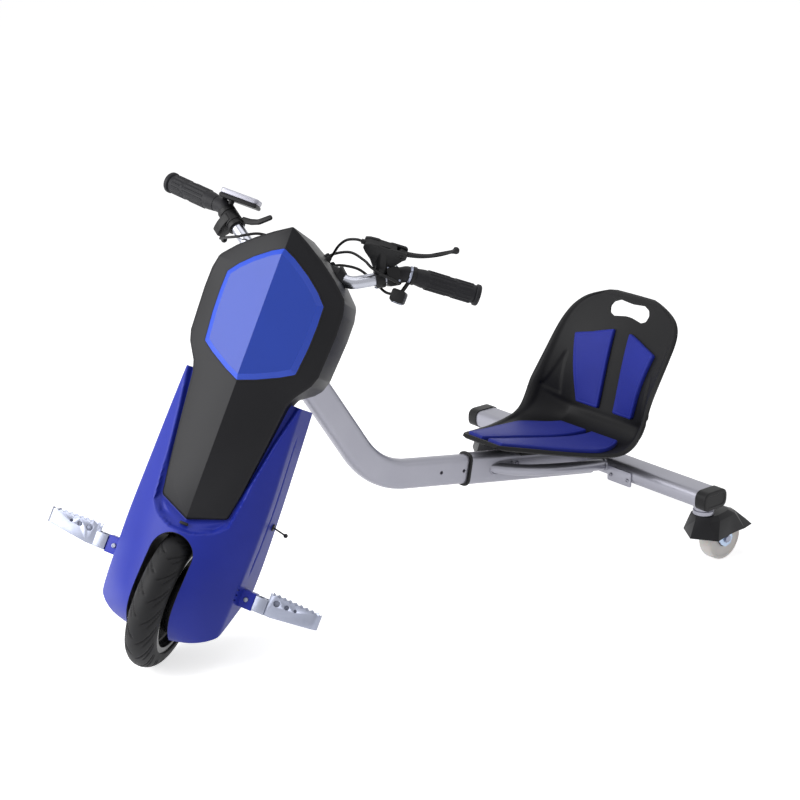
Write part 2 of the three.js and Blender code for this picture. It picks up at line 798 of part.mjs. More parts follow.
function seatRow(share) {
  let i = 0;
  while (i < seatRowShares.length - 2 && seatRowShares[i + 1][0] < share) i += 1;
  const [from, halfA, wingA] = seatRowShares[i];
  const [to, halfB, wingB] = seatRowShares[i + 1];
  const blend = (share - from) / (to - from);
  const half = seatHalfWidth * (halfA + (halfB - halfA) * blend);
  const wing = seatWingReach * (wingA + (wingB - wingA) * blend);
  const tangent = seatLine.getTangentAt(share);
  const up = new THREE.Vector3().crossVectors(axisX, tangent).normalize();
  return { half, wing, up, centre: seatLine.getPointAt(share) };
}

function seatPoint(row, across, height) {
  const out = Math.max(0, (Math.abs(across) / row.half - wingStartShare) / (1 - wingStartShare));
  const lift = row.wing * out ** 1.5 + height;
  return row.centre.clone().addScaledVector(axisX, across).addScaledVector(row.up, lift);
}

// The moulded skin between two heights above its middle surface
function seatSkin(high, low, rowCount = seatRowShares.length) {
  return lofted(seatRowShares.slice(0, rowCount).map(([share]) => {
    const row = seatRow(share);
    const top = seatAcrossShares.map((across) => seatPoint(row, across * row.half, high));
    const under = seatAcrossShares.map((across) => seatPoint(row, across * row.half, low)).reverse();
    return [...top, ...under];
  }));
}

function makeSeatShell() {
  const skin = seatSkin(0, -seatWall);
  const handleRow = seatRow(handleShare);
  const origin = handleRow.centre.clone().addScaledVector(handleRow.up, -cutOverrun / 2);
  const along = new THREE.Vector3().crossVectors(handleRow.up, axisX);
  const hole = roundedOutline(2 * handleHalfWidth, handleHeight, handleHeight / 2 - seatGap);
  const handle = prism(hole, cutOverrun, origin, axisX, along);
  const panRows = seatRowShares.filter(([share]) => share < wingStartShare).length;
  const ribs = seatRibs().subtract(seatSkin(2 * ribHeight, -seatWall / 2, panRows));
  return skin.subtract(handle).add(ribs);
}

// Ribs under the pan stand on the carrier plate
const carrierTop = sleeveHeight / 2 + seatGap + carrierWall;
const carrierFrom = carrierStart - tubeCorner.y;

function seatRibs() {
  const ribs = [-1, 1].map((side) => {
    const shape = outlineShape([[0, 0], [carrierLength, 0], [carrierLength, ribHeight], [0, ribHeight]]);
    const origin = alongTube(carrierFrom, side * ribSpacing / 2 - ribThickness / 2, carrierTop + seatGap);
    return prism(shape, ribThickness, origin, tubeDirection, tubeUp);
  });
  return union(...ribs);
}

// A crowned cushion on the skin: its edges are drawn in and its top swells
function padSolid(side, rows) {
  const rings = rows.map(([share, inner, outer, swell]) => {
    const row = seatRow(share);
    const across = padAcrossShares.map(([part]) => side * (inner + (outer - inner) * part));
    const top = across.map((x, i) => seatPoint(row, x, padThickness * swell * padAcrossShares[i][1]));
    const under = across.map((x) => seatPoint(row, x, -seatWall / 2)).reverse();
    return [...top, ...under];
  });
  return lofted(rings).subtract(seatSkin(seatGap, -2 * seatWall));
}

// Cushion rows: place along the seat line, how far the outer edge reaches, share of the full thickness
const panPadReach = (share) => padFrontHalf + share * padSpread;
const panPadRowShares = [[0.025, 0, 0.5], [0.045, 0.06, 0.9], [0.12, 0.27, 1], [0.2, 0.52, 1], [0.355, 1, 1],
  [0.43, 0.72, 1], [0.485, 0.5, 0.9], [0.505, 0.42, 0.5]];
const panPadRows = panPadRowShares.map(([place, reach, swell]) => [place, padGap / 2, panPadReach(reach),
  swell]);
const backPadRowShares = [[0.612, 0, 0.5], [0.628, 0.08, 0.9], [0.685, 0.33, 1], [0.77, 0.7, 1],
  [0.82, 0.94, 0.9], [0.835, 1, 0.5]];
const backPadRows = backPadRowShares.map(([place, reach, swell]) => [place, padGap,
  backPadLowHalf + reach * (backPadTopHalf - backPadLowHalf), swell]);

// Seat carrier: plate on the sleeve
function makeSeatBracket() {
  const shape = outlineShape([[-carrierWidth / 2, 0], [carrierWidth / 2, 0], [carrierWidth / 2, carrierWall],
    [-carrierWidth / 2, carrierWall]]);
  const origin = alongTube(carrierFrom, 0, sleeveHeight / 2 + seatGap);
  return prism(shape, carrierLength, origin, axisX.clone().negate(), tubeUp);
}

// Casters: fork with kingpin and ring, dust hood, wheel and bolt
const ringBottom = fenderTopHeight + seatGap;
const beamBottom = beamHeight - beamThickness / 2;
const plateArcShares = [1.2, 2.25];
const plateInner = casterWheelHalfWidth + 2 * slideGap;
const plateOuter = plateInner + casterPlateThickness;
const casterPlace = (side, across, back, up) => new THREE.Vector3(side * casterX + across, beamY + back, up);

const axlePlace = (side, across) => casterPlace(side, across, casterTrail, casterWheelRadius);

function makeCasterFork(side) {
  const bossRadius = casterPlateWidth / 2;
  const outline = new THREE.Shape();
  outline.moveTo(-casterHeadHalf, casterHeadHeight);
  outline.lineTo(-casterHeadHalf, casterHeadHeight - casterPlateThickness);
  const [arcStart, arcEnd] = plateArcShares.map((share) => share * Math.PI);
  outline.lineTo(casterTrail + bossRadius * Math.cos(arcStart),
    casterWheelRadius + bossRadius * Math.sin(arcStart));
  outline.absarc(casterTrail, casterWheelRadius, bossRadius, arcStart, arcEnd);
  outline.lineTo(casterHeadHalf, casterHeadHeight);
  outline.closePath();
  const plates = [-1, 1].map((face) => {
    const low = face > 0 ? plateInner : -plateOuter;
    const plate = prism(outline, casterPlateThickness, casterPlace(side, low, 0, 0), axisY, axisZ);
    const bore = rod(casterBoltRadius + seatGap, axlePlace(side, -cutOverrun),
      axlePlace(side, cutOverrun), 16);
    return plate.subtract(bore);
  });
  const headMiddle = casterHeadHeight - casterPlateThickness / 2;
  const head = block(2 * plateOuter, 2 * casterHeadHalf, casterPlateThickness,
    casterPlace(side, 0, 0, headMiddle));
  const pin = rod(kingpinRadius, casterPlace(side, 0, 0, headMiddle),
    casterPlace(side, 0, 0, beamHeight), 20);
  return union(head, pin, ...plates);
}

function makeFender(side) {
  const level = (halfPoints, height, inset) => {
    const outline = mirrored(halfPoints.map(([out, back]) => [out * fenderHalfWidth,
      back * (back > 0 ? fenderTail : fenderFront)]));
    return grown(outline, -inset).map(([x, y]) => casterPlace(side, x, y, height));
  };
  const rimShares = [[0, -1], [0.98, -0.12], [0.8, 0.24], [0.73, 0.49], [0.73, 0.67], [0.58, 0.9], [0, 1]];
  const shoulderShares = [[0, -0.65], [0.57, -0.3], [0.71, 0.09], [0.6, 0.4], [0.53, 0.51], [0.33, 0.6],
    [0, 0.64]];
  const topShares = [[0, -0.6], [0.5, -0.25], [0.55, 0.11], [0.47, 0.3], [0.4, 0.4], [0.25, 0.45],
    [0, 0.47]];
  const skin = (inset, lowest) => lofted([
    level(rimShares, fenderRimHeight - lowest, inset),
    level(shoulderShares, fenderShoulderHeight - inset, inset),
    level(topShares, fenderTopHeight - inset, inset)]);
  const bore = rod(kingpinRadius + slideGap, casterPlace(side, 0, 0, fenderRimHeight),
    casterPlace(side, 0, 0, beamHeight));
  return skin(0, 0).subtract(skin(fenderWall, fenderWall)).subtract(bore);
}

// Across the tread from its middle to its side: share of the half width, share of the radius
const casterTreadShares = [[0, 1], [0.6, 0.98], [1, 0.88]];

function makeCasterWheel(side) {
  const hub = casterBoltRadius + slideGap;
  const half = casterTreadShares.map(([across, radius]) => [radius * casterWheelRadius,
    across * casterWheelHalfWidth]);
  const other = half.slice(1).map(([radius, across]) => [radius, -across]).reverse();
  const profile = [[hub, -casterWheelHalfWidth], ...other, ...half, [hub, casterWheelHalfWidth],
    [hub, -casterWheelHalfWidth]];
  return turned(profile, axlePlace(side, 0), axisX, 28);
}

function makeCasterAxle(side) {
  const headStart = plateOuter + seatGap;
  const headEnd = headStart + casterHeadLength;
  const heads = [-1, 1].map((face) => rod(casterHeadRadius, axlePlace(side, face * headStart),
    axlePlace(side, face * headEnd), 12));
  return union(rod(casterBoltRadius, axlePlace(side, -headStart), axlePlace(side, headStart), 16), ...heads);
}

// Fairing: levels from the lowest edge to the top, as shares of its height, half width and depth
const fairingLevelShares = [
  [0, 0.8, -0.05, 0.36, -0.6], [0.03, 0.9, 0.05, 0.64, -0.6], [0.085, 0.95, 0.13, 0.9, -0.6],
  [0.155, 0.965, 0.17, 1, -0.6], [0.27, 0.98, 0.17, 0.94, -0.59], [0.4, 1, 0.155, 0.83, -0.51],
  [0.61, 0.99, 0.17, 0.795, -0.39], [0.84, 0.955, 0.26, 0.775, -0.31], [1, 0.93, 0.315, 0.74, -0.24]];
const fairingAcrossShares = [1, 0.93, 0.78, 0.58, 0.34, 0];
const fairingCurve = 1.7;

function fairingRings(inset, extraBack, extraEnds) {
  const tall = fairingTop - fairingBottom;
  return fairingLevelShares.map(([height, half, edge, front, back], level) => {
    const last = level === fairingLevelShares.length - 1;
    const reach = level === 0 ? -extraEnds : (last ? extraEnds : 0);
    const up = fairingBottom + height * tall + reach;
    const halfWidth = half * fairingHalfWidth - inset;
    const edgeAhead = edge * fairingDepth - inset;
    const frontAhead = front * fairingDepth - inset;
    const backAhead = back * fairingDepth - extraBack;
    const right = [[halfWidth + fairingDraft, backAhead]];
    for (const share of fairingAcrossShares) {
      right.push([halfWidth * share, frontAhead - (frontAhead - edgeAhead) * share ** fairingCurve]);
    }
    return mirrored(right).map(([across, ahead]) => at(across, up, ahead));
  });
}

// Outline of the black cover seen from the front, right half, top to bottom
const coverTall = coverTop - coverBottom;
const coverShares = [[0, 1], [0.26, 0.967], [0.51, 0.929], [0.74, 0.887], [0.93, 0.842], [1, 0.79], [1, 0.7],
  [0.975, 0.577], [0.92, 0.536], [0.76, 0.483], [0.715, 0.452], [0.653, 0.323], [0.556, 0.126],
  [0.502, 0.044], [0, 0]];
const coverOutline = mirrored(coverShares.map(([out, up]) => [out * coverHalfWidth,
  coverBottom + up * coverTall]));

function frontPrism(outline, from, to) {
  const depth = to - from;
  return prism(outlineShape(outline), depth, at(0, 0, from), axisX, axisZ);
}

function makeHousing() {
  const outer = lofted(fairingRings(0, 0, 0));
  const inner = lofted(fairingRings(fairingWall, cutOverrun, cutOverrun));
  const deep = lofted(fairingRings(recessDepth, cutOverrun, cutOverrun));
  const ahead = fairingDepth + cutOverrun;
  const recessOutline = grown(coverOutline, recessLip);
  const recess = frontPrism(recessOutline, 0, ahead);
  const well = frontPrism(grown(coverOutline, recessLip + recessWall), 0, ahead);
  let shell = outer.subtract(inner).add(outer.subtract(deep).intersect(well));
  shell = shell.subtract(recess);
  const slotCentre = slotTop - slotHalfWidth;
  const slot = new THREE.Shape();
  slot.absarc(0, slotCentre, slotHalfWidth, 0, Math.PI);
  slot.lineTo(-slotHalfWidth, fairingBottom - cutOverrun);
  slot.lineTo(slotHalfWidth, fairingBottom - cutOverrun);
  slot.closePath();
  shell = shell.subtract(prism(slot, ahead, at(0, 0, 0), axisX, axisZ, 6));
  const hemBack = hemFrontAhead - fairingDepth - cutOverrun;
  const hemLow = fairingBottom - cutOverrun;
  const hem = outlineShape([[hemBack, fairingBottom + (hemFrontAhead - hemBack) * hemSlope],
    [hemFrontAhead, fairingBottom], [hemFrontAhead, hemLow], [hemBack, hemLow]]);
  const span = fairingHalfWidth + fairingDraft + cutOverrun;
  shell = shell.subtract(prism(hem, 2 * span, at(span, 0, 0), axisY.clone().negate(), axisZ));
  const openings = [-1, 1].map((side) => pegArmSolid(side, seatGap));
  shell = shell.subtract(union(...openings)).subtract(chargerBore());
  return shell.decompose().reduce((best, piece) => (piece.volume() > best.volume() ? piece : best));
}

// Plate that closes the fairing behind the battery
function makeRearCover() {
  const half = fairingHalfWidth - rearCoverInset;
  const upperHalf = half - rearCoverTaper;
  const low = wheelRadius + cutOverrun;
  const high = fairingTop - fairingWall;
  const shape = outlineShape([[-half, low], [half, low], [upperHalf, high], [-upperHalf, high]]);
  return prism(shape, fairingWall, at(0, 0, -rearCoverOffset), axisX, axisZ);
}

const ridgeSlope = (coverRidgeTop - coverRidgeBottom) / coverTall;
const ridgeAt = (up) => coverRidgeBottom + (up - coverBottom) * ridgeSlope;

function ridgedBlock(lift, half, low, high) {
  const ring = (up) => [
    at(half, up, -farBehind), at(half, up, ridgeAt(up) + lift - coverSlopeShare * half),
    at(0, up, ridgeAt(up) + lift), at(-half, up, ridgeAt(up) + lift - coverSlopeShare * half),
    at(-half, up, -farBehind)];
  return lofted([ring(low), ring(high)]);
}

function makeFrontCover() {
  const reach = coverHalfWidth + cutOverrun;
  const low = coverBottom - cutOverrun;
  const high = coverTop + cutOverrun;
  const far = coverRidgeTop + cutOverrun;
  const split = fairingTop + coverStand;
  const skirt = frontPrism([[-reach, low], [reach, low], [reach, split], [-reach, split]], -farBehind,
    coverSkirtBack);
  const outer = frontPrism(coverOutline, -coverSideDepth, far).intersect(ridgedBlock(0, reach, low, high))
    .subtract(skirt);
  const inner = frontPrism(grown(coverOutline, -coverWall), -coverSideDepth - cutOverrun, far)
    .intersect(ridgedBlock(-coverWall, reach, low, high));
  const barCut = rod(grommetRadius + seatGap, at(-coverHalfWidth, barHeight, -barOffset),
    at(coverHalfWidth, barHeight, -barOffset), 16);
  const cableCuts = Object.values(cableRoutes).map((route) => {
    const [start, next] = route;
    const back = start.clone().sub(next).normalize();
    return rod(cableRadius + slideGap, start.clone().addScaledVector(back, coverWall),
      start.clone().addScaledVector(back, -cableHoleLength), 12);
  });
  return outer.subtract(inner).subtract(barCut).subtract(union(...cableCuts));
}

// Raised six-sided panel with a bevelled border and the same ridge as the cover
function makeHexPanel() {
  const tall = hexTop - hexBottom;
  const hexShares = [[0, 1], [0.24, 0.956], [0.55, 0.876], [0.8, 0.795], [0.99, 0.713], [1, 0.56],
    [0.99, 0.4], [0.935, 0.184], [0.695, 0.125], [0.32, 0.05], [0, 0]];
  const outline = mirrored(hexShares.map(([out, up]) => [out * hexHalfWidth, hexBottom + up * tall]));
  const reach = hexHalfWidth + cutOverrun;
  const slab = (inset, lift) => frontPrism(grown(outline, -inset), 0, coverRidgeTop + cutOverrun)
    .intersect(ridgedBlock(lift, reach, hexBottom - cutOverrun, hexTop + cutOverrun));
  const under = ridgedBlock(seatGap, reach, hexBottom - cutOverrun, hexTop + cutOverrun);
  return slab(0, hexThickness / 2).add(slab(hexBevel, hexThickness)).subtract(under);
}

// Handlebar: level middle, a rise, then swept grips
const barInner = at(barInnerX, barHeight, -barOffset);
const barOuter = at(barOuterX, barHeight + barRise, -barOuterOffset);
const barEnd = at(barEndX, barHeight + barEndRise, -barEndOffset);
const gripDirection = barEnd.clone().sub(barOuter).normalize();
const riseDirection = barOuter.clone().sub(barInner).normalize();

const sided = (point, side) => new THREE.Vector3(side * point.x, point.y, point.z);

function makeHandlebar() {
  const corners = [sided(barEnd, -1), sided(barOuter, -1), sided(barInner, -1), barInner, barOuter, barEnd];
  const path = bentPath(corners, barBendRadius, 3);
  return hollowAlong(circlePoints(barRadius, 14), circlePoints(barRadius - barWall, 10), path, axisZ);
}

// Place on a grip's straight part, measured inwards from the bar end
function gripPlace(side, inwards) {
  return sided(barEnd.clone().addScaledVector(gripDirection, -inwards), side);
}

// Place on the rise of the bar, measured inwards from its outer corner
function risePlace(side, inwards) {
  return sided(barOuter.clone().addScaledVector(riseDirection, -inwards), side);
}

function makeGrip(side) {
  const bore = barRadius + seatGap;
  const profile = [[0, seatGap], [bore, seatGap], [bore, -gripLength], [gripRadius, -gripLength],
    [gripRadius, -gripFlangeLength], [gripFlangeRadius, -gripFlangeLength], [gripFlangeRadius, gripEndWall],
    [0, gripEndWall]];
  return turned(profile, gripPlace(side, 0), sided(gripDirection, side), 16);
}

function clampRing(side, inwards, length) {
  return turned(ringProfile(clampRadius, barRadius, 0, length), risePlace(side, inwards + length),
    sided(riseDirection, side), 14);
}

function barBore(side) {
  return rod(barRadius + slideGap, risePlace(side, -cutOverrun), risePlace(side, 2 * cutOverrun), 14);
}

function makeStemClamp() {
  const low = steererTop - clampHeight / 2;
  const high = barHeight + barRadius + clampCap;
  const back = barOffset + barRadius + clampCap;
  const front = steererRadius + clampCap;
  const body = block(clampWidth, back + front, high - low, at(0, (low + high) / 2, (front - back) / 2));
  const barCut = rod(barRadius + seatGap, at(-clampWidth, barHeight, -barOffset),
    at(clampWidth, barHeight, -barOffset), 18);
  const stemCut = rod(steererRadius + seatGap, at(0, low - cutOverrun, 0),
    at(0, steererTop + seatGap, 0), 18);
  return body.subtract(barCut).subtract(stemCut);
}

function makeGrommet() {
  return turned(ringProfile(grommetRadius, barRadius + seatGap, 0, grommetLength),
    at(grommetStart, barHeight, -barOffset), axisX, 16);
}

// A rounded box that stands square to a direction
function placedBox(width, depth, height, centre, along, corner) {
  const up = axisZ.clone().addScaledVector(along, -along.z).normalize();
  const ahead = new THREE.Vector3().crossVectors(along, up);
  const origin = centre.clone().addScaledVector(ahead, -depth / 2);
  return prism(roundedOutline(width, height, corner), depth, origin, along, up, 1);
}

// Rider's right: throttle body with its paddle, and the display box
const throttleMiddle = risePlace(-1, throttleFrom + throttleWidth / 2);

function makeThrottleBody() {
  const body = placedBox(throttleWidth, throttleDepth, throttleDrop,
    throttleMiddle.clone().add(at(0, -throttleDrop / 2, 0)), axisX, controlCorner);
  const ball = rod(throttleBall, throttleMiddle.clone().add(at(0, -throttleDrop / 2, 0)),
    throttleMiddle.clone().add(at(0, -throttleDrop - throttleBallDrop, 0)), 10);
  const reach = clampRadius + slideGap;
  const displaySide = rod(reach, risePlace(-1, -cutOverrun), risePlace(-1, throttleFrom - seatGap));
  const paddleSide = rod(reach, risePlace(-1, throttleFrom + throttleWidth), risePlace(-1, 2 * cutOverrun));
  const ring = clampRing(-1, throttleFrom, throttleWidth);
  return body.add(ball).subtract(union(displaySide, paddleSide)).add(ring).subtract(barBore(-1));
}

function makeDisplayBox() {
  const foot = risePlace(-1, displayFrom + displayFootLength / 2);
  const displayUp = barHeight + displayRise;
  const centre = at(-displayX, displayUp, -displayOffset);
  const box = placedBox(displayWidth, displayDepth, displayHeight, centre, axisX, controlCorner);
  const neck = rod(displayFootLength / 2, foot, at(foot.x, displayUp, -foot.y), 10);
  return clampRing(-1, displayFrom, displayFootLength).add(box).add(neck).subtract(barBore(-1));
}

// Thumb paddle: a ring that turns on the bar, with a blade that leans inwards
const paddleFrom = throttleFrom + throttleWidth + slideGap;
const paddleShares = [[-0.15, 0.2], [0.15, 0.2], [0.57, 0.37], [0.9, 0.57], [1.17, 0.98], [0.9, 1.03],
  [0.6, 0.63], [0.27, 0.47], [-0.15, 0.33]];

function makePaddle() {
  const inwards = sided(riseDirection, -1).negate();
  const out = at(paddleLean, 1, 0);
  out.addScaledVector(inwards, -out.dot(inwards)).normalize();
  const blade = outlineShape(paddleShares.map(([along, reach]) => [along * paddleShift,
    reach * paddleReach]));
  const across = new THREE.Vector3().crossVectors(inwards, out);
  const origin = risePlace(-1, paddleFrom + paddleWidth / 2).addScaledVector(across, -paddleThickness / 2);
  return clampRing(-1, paddleFrom, paddleWidth).add(prism(blade, paddleThickness, origin, inwards, out))
    .subtract(barBore(-1));
}

// Rider's left: brake bracket and lever, switch block, horn box and its button
const leverPivot = at(leverPivotX, barHeight + leverPivotRise, -leverPivotOffset);
const leverAlong = gripDirection;
const leverOut = at(0, leverRise, leverAhead);
leverOut.addScaledVector(leverAlong, -leverOut.dot(leverAlong)).normalize();
const leverAcross = new THREE.Vector3().crossVectors(leverAlong, leverOut);

function makeBrakeBracket() {
  const half = brakeThickness / 2;
  const body = outlineShape([[-brakeLength, -leverRoot], [leverRoot, -leverRoot], [leverRoot, leverRoot],
    [-brakeLength, leverRoot]]);
  const corner = leverPivot.clone().addScaledVector(leverAcross, -half);
  const bar = prism(body, brakeThickness, corner, leverAlong, leverOut);
  const foot = risePlace(1, brakeFrom + brakeWidth / 2);
  const neckTop = leverPivot.clone().addScaledVector(leverAlong, -brakeLength / 2);
  const neck = rod(brakeWidth / 2, foot, neckTop, 12);
  const slotHalf = leverThickness / 2 + slideGap;
  const reach = leverRoot + slideGap;
  const slot = outlineShape([[-reach, -reach], [cutOverrun, -reach], [cutOverrun, reach], [-reach, reach]]);
  const mouthCorner = leverPivot.clone().addScaledVector(leverAcross, -slotHalf);
  const mouth = prism(slot, 2 * slotHalf, mouthCorner, leverAlong, leverOut);
  const pin = rod(leverPinRadius, corner, leverPivot.clone().addScaledVector(leverAcross, half), 10);
  return clampRing(1, brakeFrom, brakeWidth).add(bar).add(neck).subtract(mouth).add(pin)
    .subtract(barBore(1));
}

const leverUnderShare = 0.6;
const leverOverShares = [0.45, 0.6];
const leverBallShares = [-0.4, 0.8];

function makeBrakeLever() {
  const root = leverRoot - slideGap;
  const [ballStart, ballEnd] = leverBallShares.map((share) => share * Math.PI);
  const [overAlong, overUp] = leverOverShares;
  const shape = new THREE.Shape();
  shape.absarc(0, 0, root, 0.5 * Math.PI, 1.5 * Math.PI);
  shape.quadraticCurveTo(leverUnderShare * leverLength, 0, leverLength, leverCurve - leverThin / 2);
  shape.absarc(leverLength, leverCurve, leverBall, ballStart, ballEnd);
  shape.quadraticCurveTo(overAlong * leverLength, overUp * leverCurve, root, root);
  shape.closePath();
  const origin = leverPivot.clone().addScaledVector(leverAcross, -leverThickness / 2);
  const pinHole = rod(leverPinRadius + seatGap,
    leverPivot.clone().addScaledVector(leverAcross, -leverThickness),
    leverPivot.clone().addScaledVector(leverAcross, leverThickness), 12);
  return prism(shape, leverThickness, origin, leverAlong, leverOut, 4).subtract(pinHole);
}

const switchMiddle = risePlace(1, switchFrom + switchWidth / 2);
const buttonFloor = switchDepth / 2 - buttonDepth;

function makeSwitchBlock() {
  const box = placedBox(switchWidth, switchDepth, switchHeight, switchMiddle, riseDirection, controlCorner);
  const well = rod(buttonRadius + slideGap, switchMiddle.clone().add(at(0, 0, -buttonFloor)),
    switchMiddle.clone().add(at(0, 0, -buttonFloor - cutOverrun)), 14);
  return box.subtract(barBore(1)).subtract(well);
}

function makeHornButton() {
  const floor = -buttonFloor - buttonTravel - seatGap;
  return rod(buttonRadius, switchMiddle.clone().add(at(0, 0, floor)),
    switchMiddle.clone().add(at(0, 0, floor - buttonLength)), 12);
}

const hornMiddle = at(hornX, barHeight + hornRise, -hornOffset);

function makeHornBox() {
  const box = placedBox(hornWidth, hornDepth, hornHeight, hornMiddle, axisX, controlCorner);
  const strapFrom = gripLength + seatGap;
  const strapMiddle = gripPlace(1, strapFrom + hornStrap / 2);
  const strap = turned(ringProfile(clampRadius, barRadius, 0, hornStrap),
    gripPlace(1, strapFrom + hornStrap), gripDirection, 14);
  const bore = rod(barRadius + slideGap, gripPlace(1, 0), gripPlace(1, strapFrom + cutOverrun), 14);
  return box.add(rod(hornNeck / 2, hornMiddle, strapMiddle, 10)).add(strap).subtract(bore);
}

// Foot pegs
const hingeStart = pegX + seatGap;
const pegPivotX = hingeStart + pegHingeLength - pegPinRadius - pegPinMargin;
const pegPivotHeight = pegHeight + pegHingeHeight / 2 - pegPinRadius - pegPinMargin;
const pegHoleShares = [[0.16, 1], [0.36, 0.75], [0.53, 0.5]];

// Bracket from the fork leg out through an opening in the fairing's side wall
function pegArmSolid(side, growth) {
  const inner = legOuter + seatGap - growth;
  const outer = pegX + growth;
  return block(outer - inner, pegArmDepth + 2 * growth, pegArmHeight + 2 * growth,
    at((side * (inner + outer)) / 2, pegHeight, -pegOffset));
}

function makePegBracket(side) {
  return pegArmSolid(side, 0);
}

function makePegHinge(side) {
  const start = side * hingeStart;
  const middle = side * (hingeStart + pegHingeLength / 2);
  const body = block(pegHingeLength, pegHingeDepth, pegHingeHeight, at(middle, pegHeight, -pegOffset));
  const mouthWidth = pegHingeLength - pegPlate;
  const mouthMiddle = start + side * (pegPlate + mouthWidth / 2 + cutOverrun / 2);
  const mouth = block(mouthWidth + cutOverrun, pegHingeDepth - 2 * pegPlate, pegHingeHeight + cutOverrun,
    at(mouthMiddle, pegHeight, -pegOffset));
  const reach = (pegHingeDepth - pegPlate) / 2;
  const pin = rod(pegPinRadius, at(side * pegPivotX, pegPivotHeight, -pegOffset - reach),
    at(side * pegPivotX, pegPivotHeight, -pegOffset + reach), 12);
  return body.subtract(mouth).add(pin);
}

const pegRootX = pegPivotX - pegPinRadius - pegPinEdge;
const bladeX = hingeStart + pegHingeLength + slideGap;
const pegEndX = bladeX + pegLength;

// Plan of the steel strip that is bent into a closed loop
function pegOutline(target, inset) {
  const rootHalf = pegHingeDepth / 2 - pegPlate - slideGap - inset;
  const half = pegDepth / 2 - inset;
  target.moveTo(pegRootX + inset, -rootHalf);
  target.lineTo(bladeX, -rootHalf);
  target.lineTo(bladeX + pegDepth / 2, -half);
  target.absarc(pegEndX - pegDepth / 2, 0, half, -Math.PI / 2, Math.PI / 2);
  target.lineTo(bladeX + pegDepth / 2, half);
  target.lineTo(bladeX, rootHalf);
  target.lineTo(pegRootX + inset, rootHalf);
  target.closePath();
  return target;
}

function makePeg(side) {
  const plan = pegOutline(new THREE.Shape(), 0);
  plan.holes.push(pegOutline(new THREE.Path(), pegPlate));
  const across = new THREE.Vector3(side, 0, 0);
  const behind = new THREE.Vector3(0, side, 0);
  const bottom = pegHeight - pegHingeHeight / 2;
  const wide = pegDepth + cutOverrun;
  const sideCut = (points) => prism(outlineShape(points.map(([x, z]) => [side * x, z])), 2 * wide,
    at(0, bottom, -pegOffset - wide), axisX, axisZ);
  const peg = prism(plan, pegRootHeight, at(0, bottom, -pegOffset), across, behind, 3);
  const farX = pegEndX + cutOverrun;
  const teeth = [[bladeX, pegRootHeight]];
  const pitch = (pegEndX - bladeX) / toothCount;
  for (let i = 0; i < toothCount; i += 1) {
    const start = pegRootHeight - (i * pegTopFall) / toothCount;
    teeth.push([bladeX + (i + 0.5) * pitch, start - toothDepth]);
    teeth.push([bladeX + (i + 1) * pitch, start - pegTopFall / toothCount]);
  }
  teeth.push([farX, pegRootHeight - pegTopFall], [farX, pegRootHeight + cutOverrun],
    [bladeX, pegRootHeight + cutOverrun]);
  const rise = pegRootHeight - pegTopFall - pegTipHeight;
  const taperX = bladeX + pegDepth / 2;
  const taper = [[taperX, -cutOverrun], [taperX, 0], [pegEndX, rise], [farX, rise], [farX, -cutOverrun]];
  const rootX = bladeX - slideGap;
  const root = [[0, pegHingeHeight], [rootX, pegHingeHeight], [rootX, pegRootHeight + cutOverrun],
    [0, pegRootHeight + cutOverrun]];
  const holes = pegHoleShares.map(([along, size]) => {
    const centre = side * (bladeX + along * pegLength);
    const up = pegHeight + pegHoleRise;
    return rod(pegHoleRadius * size, at(centre, up, -pegOffset), at(centre, up, -pegOffset + wide), 8);
  });
  const pinHole = rod(pegPinRadius + seatGap, at(side * pegPivotX, pegPivotHeight, -pegOffset - wide),
    at(side * pegPivotX, pegPivotHeight, -pegOffset + wide), 12);
  return peg.subtract(union(sideCut(teeth), sideCut(taper), sideCut(root), pinHole, ...holes));
}

// Charging port in the fairing's left side, with its rubber plug on a strap
const portPlace = (across) => at(fairingHalfWidth + across, portHeight, -portOffset);

function chargerBore() {
  return rod(portRadius + seatGap, portPlace(-cutOverrun), portPlace(cutOverrun), 16);
}

function makeChargingPlug() {
  const barrel = rod(portRadius, portPlace(-portLength), portPlace(fairingDraft + seatGap), 16);
  const strapStart = portPlace(fairingDraft - seatGap);
  const strapEnd = strapStart.clone().add(at(strapLength, -strapDrop, 0));
  const ball = new THREE.SphereGeometry(plugRadius, 12, 8);
  ball.translate(strapEnd.x, strapEnd.y, strapEnd.z);
  return union(barrel, rod(strapRadius, strapStart, strapEnd, 8), toSolid(ball));
}

// Cables, each whole from the cover's roof to its control: places chosen by hand, and an end
// a fit away from the control that it enters
const brakeEntry = leverPivot.clone().addScaledVector(gripDirection, -brakeLength - seatGap);
const switchUp = axisZ.clone().addScaledVector(riseDirection, -riseDirection.z).normalize();
const switchAhead = new THREE.Vector3().crossVectors(riseDirection, switchUp);
const switchEntry = switchMiddle.clone().addScaledVector(switchUp, -switchEntryDrop)
  .addScaledVector(switchAhead, switchDepth / 2 + seatGap);
const throttleEntry = throttleMiddle.clone()
  .add(at(0, -throttleDrop - throttleBallDrop / 2, throttleBall + seatGap));
const hornEntry = hornMiddle.clone().add(at(-hornWidth / 2 - seatGap, 0, 0));
const cableRoutes = {
  brake_cable: [at(40, 618, -28), at(46, 634, -26), at(54, 650, -10), at(68, 662, 10),
    brakeEntry.clone().addScaledVector(gripDirection, -cableLead), brakeEntry],
  switch_cable: [at(34, 622, -36), at(44, 636, -38), at(72, 648, -30), at(104, 642, -12), at(126, 633, -4),
    switchEntry.clone().addScaledVector(switchAhead, cableLead), switchEntry],
  horn_cable: [at(46, 611, -40), at(58, 622, -46), at(88, 628, -60), at(118, 619, -60),
    hornEntry.clone().add(at(-cableLead, 0, 0)), hornEntry],
  throttle_cable: [at(-44, 614, -30), at(-58, 624, -24), at(-84, 622, -8), at(-118, 604, -6),
    throttleEntry.clone().add(at(0, 0, cableLead)), throttleEntry],
};

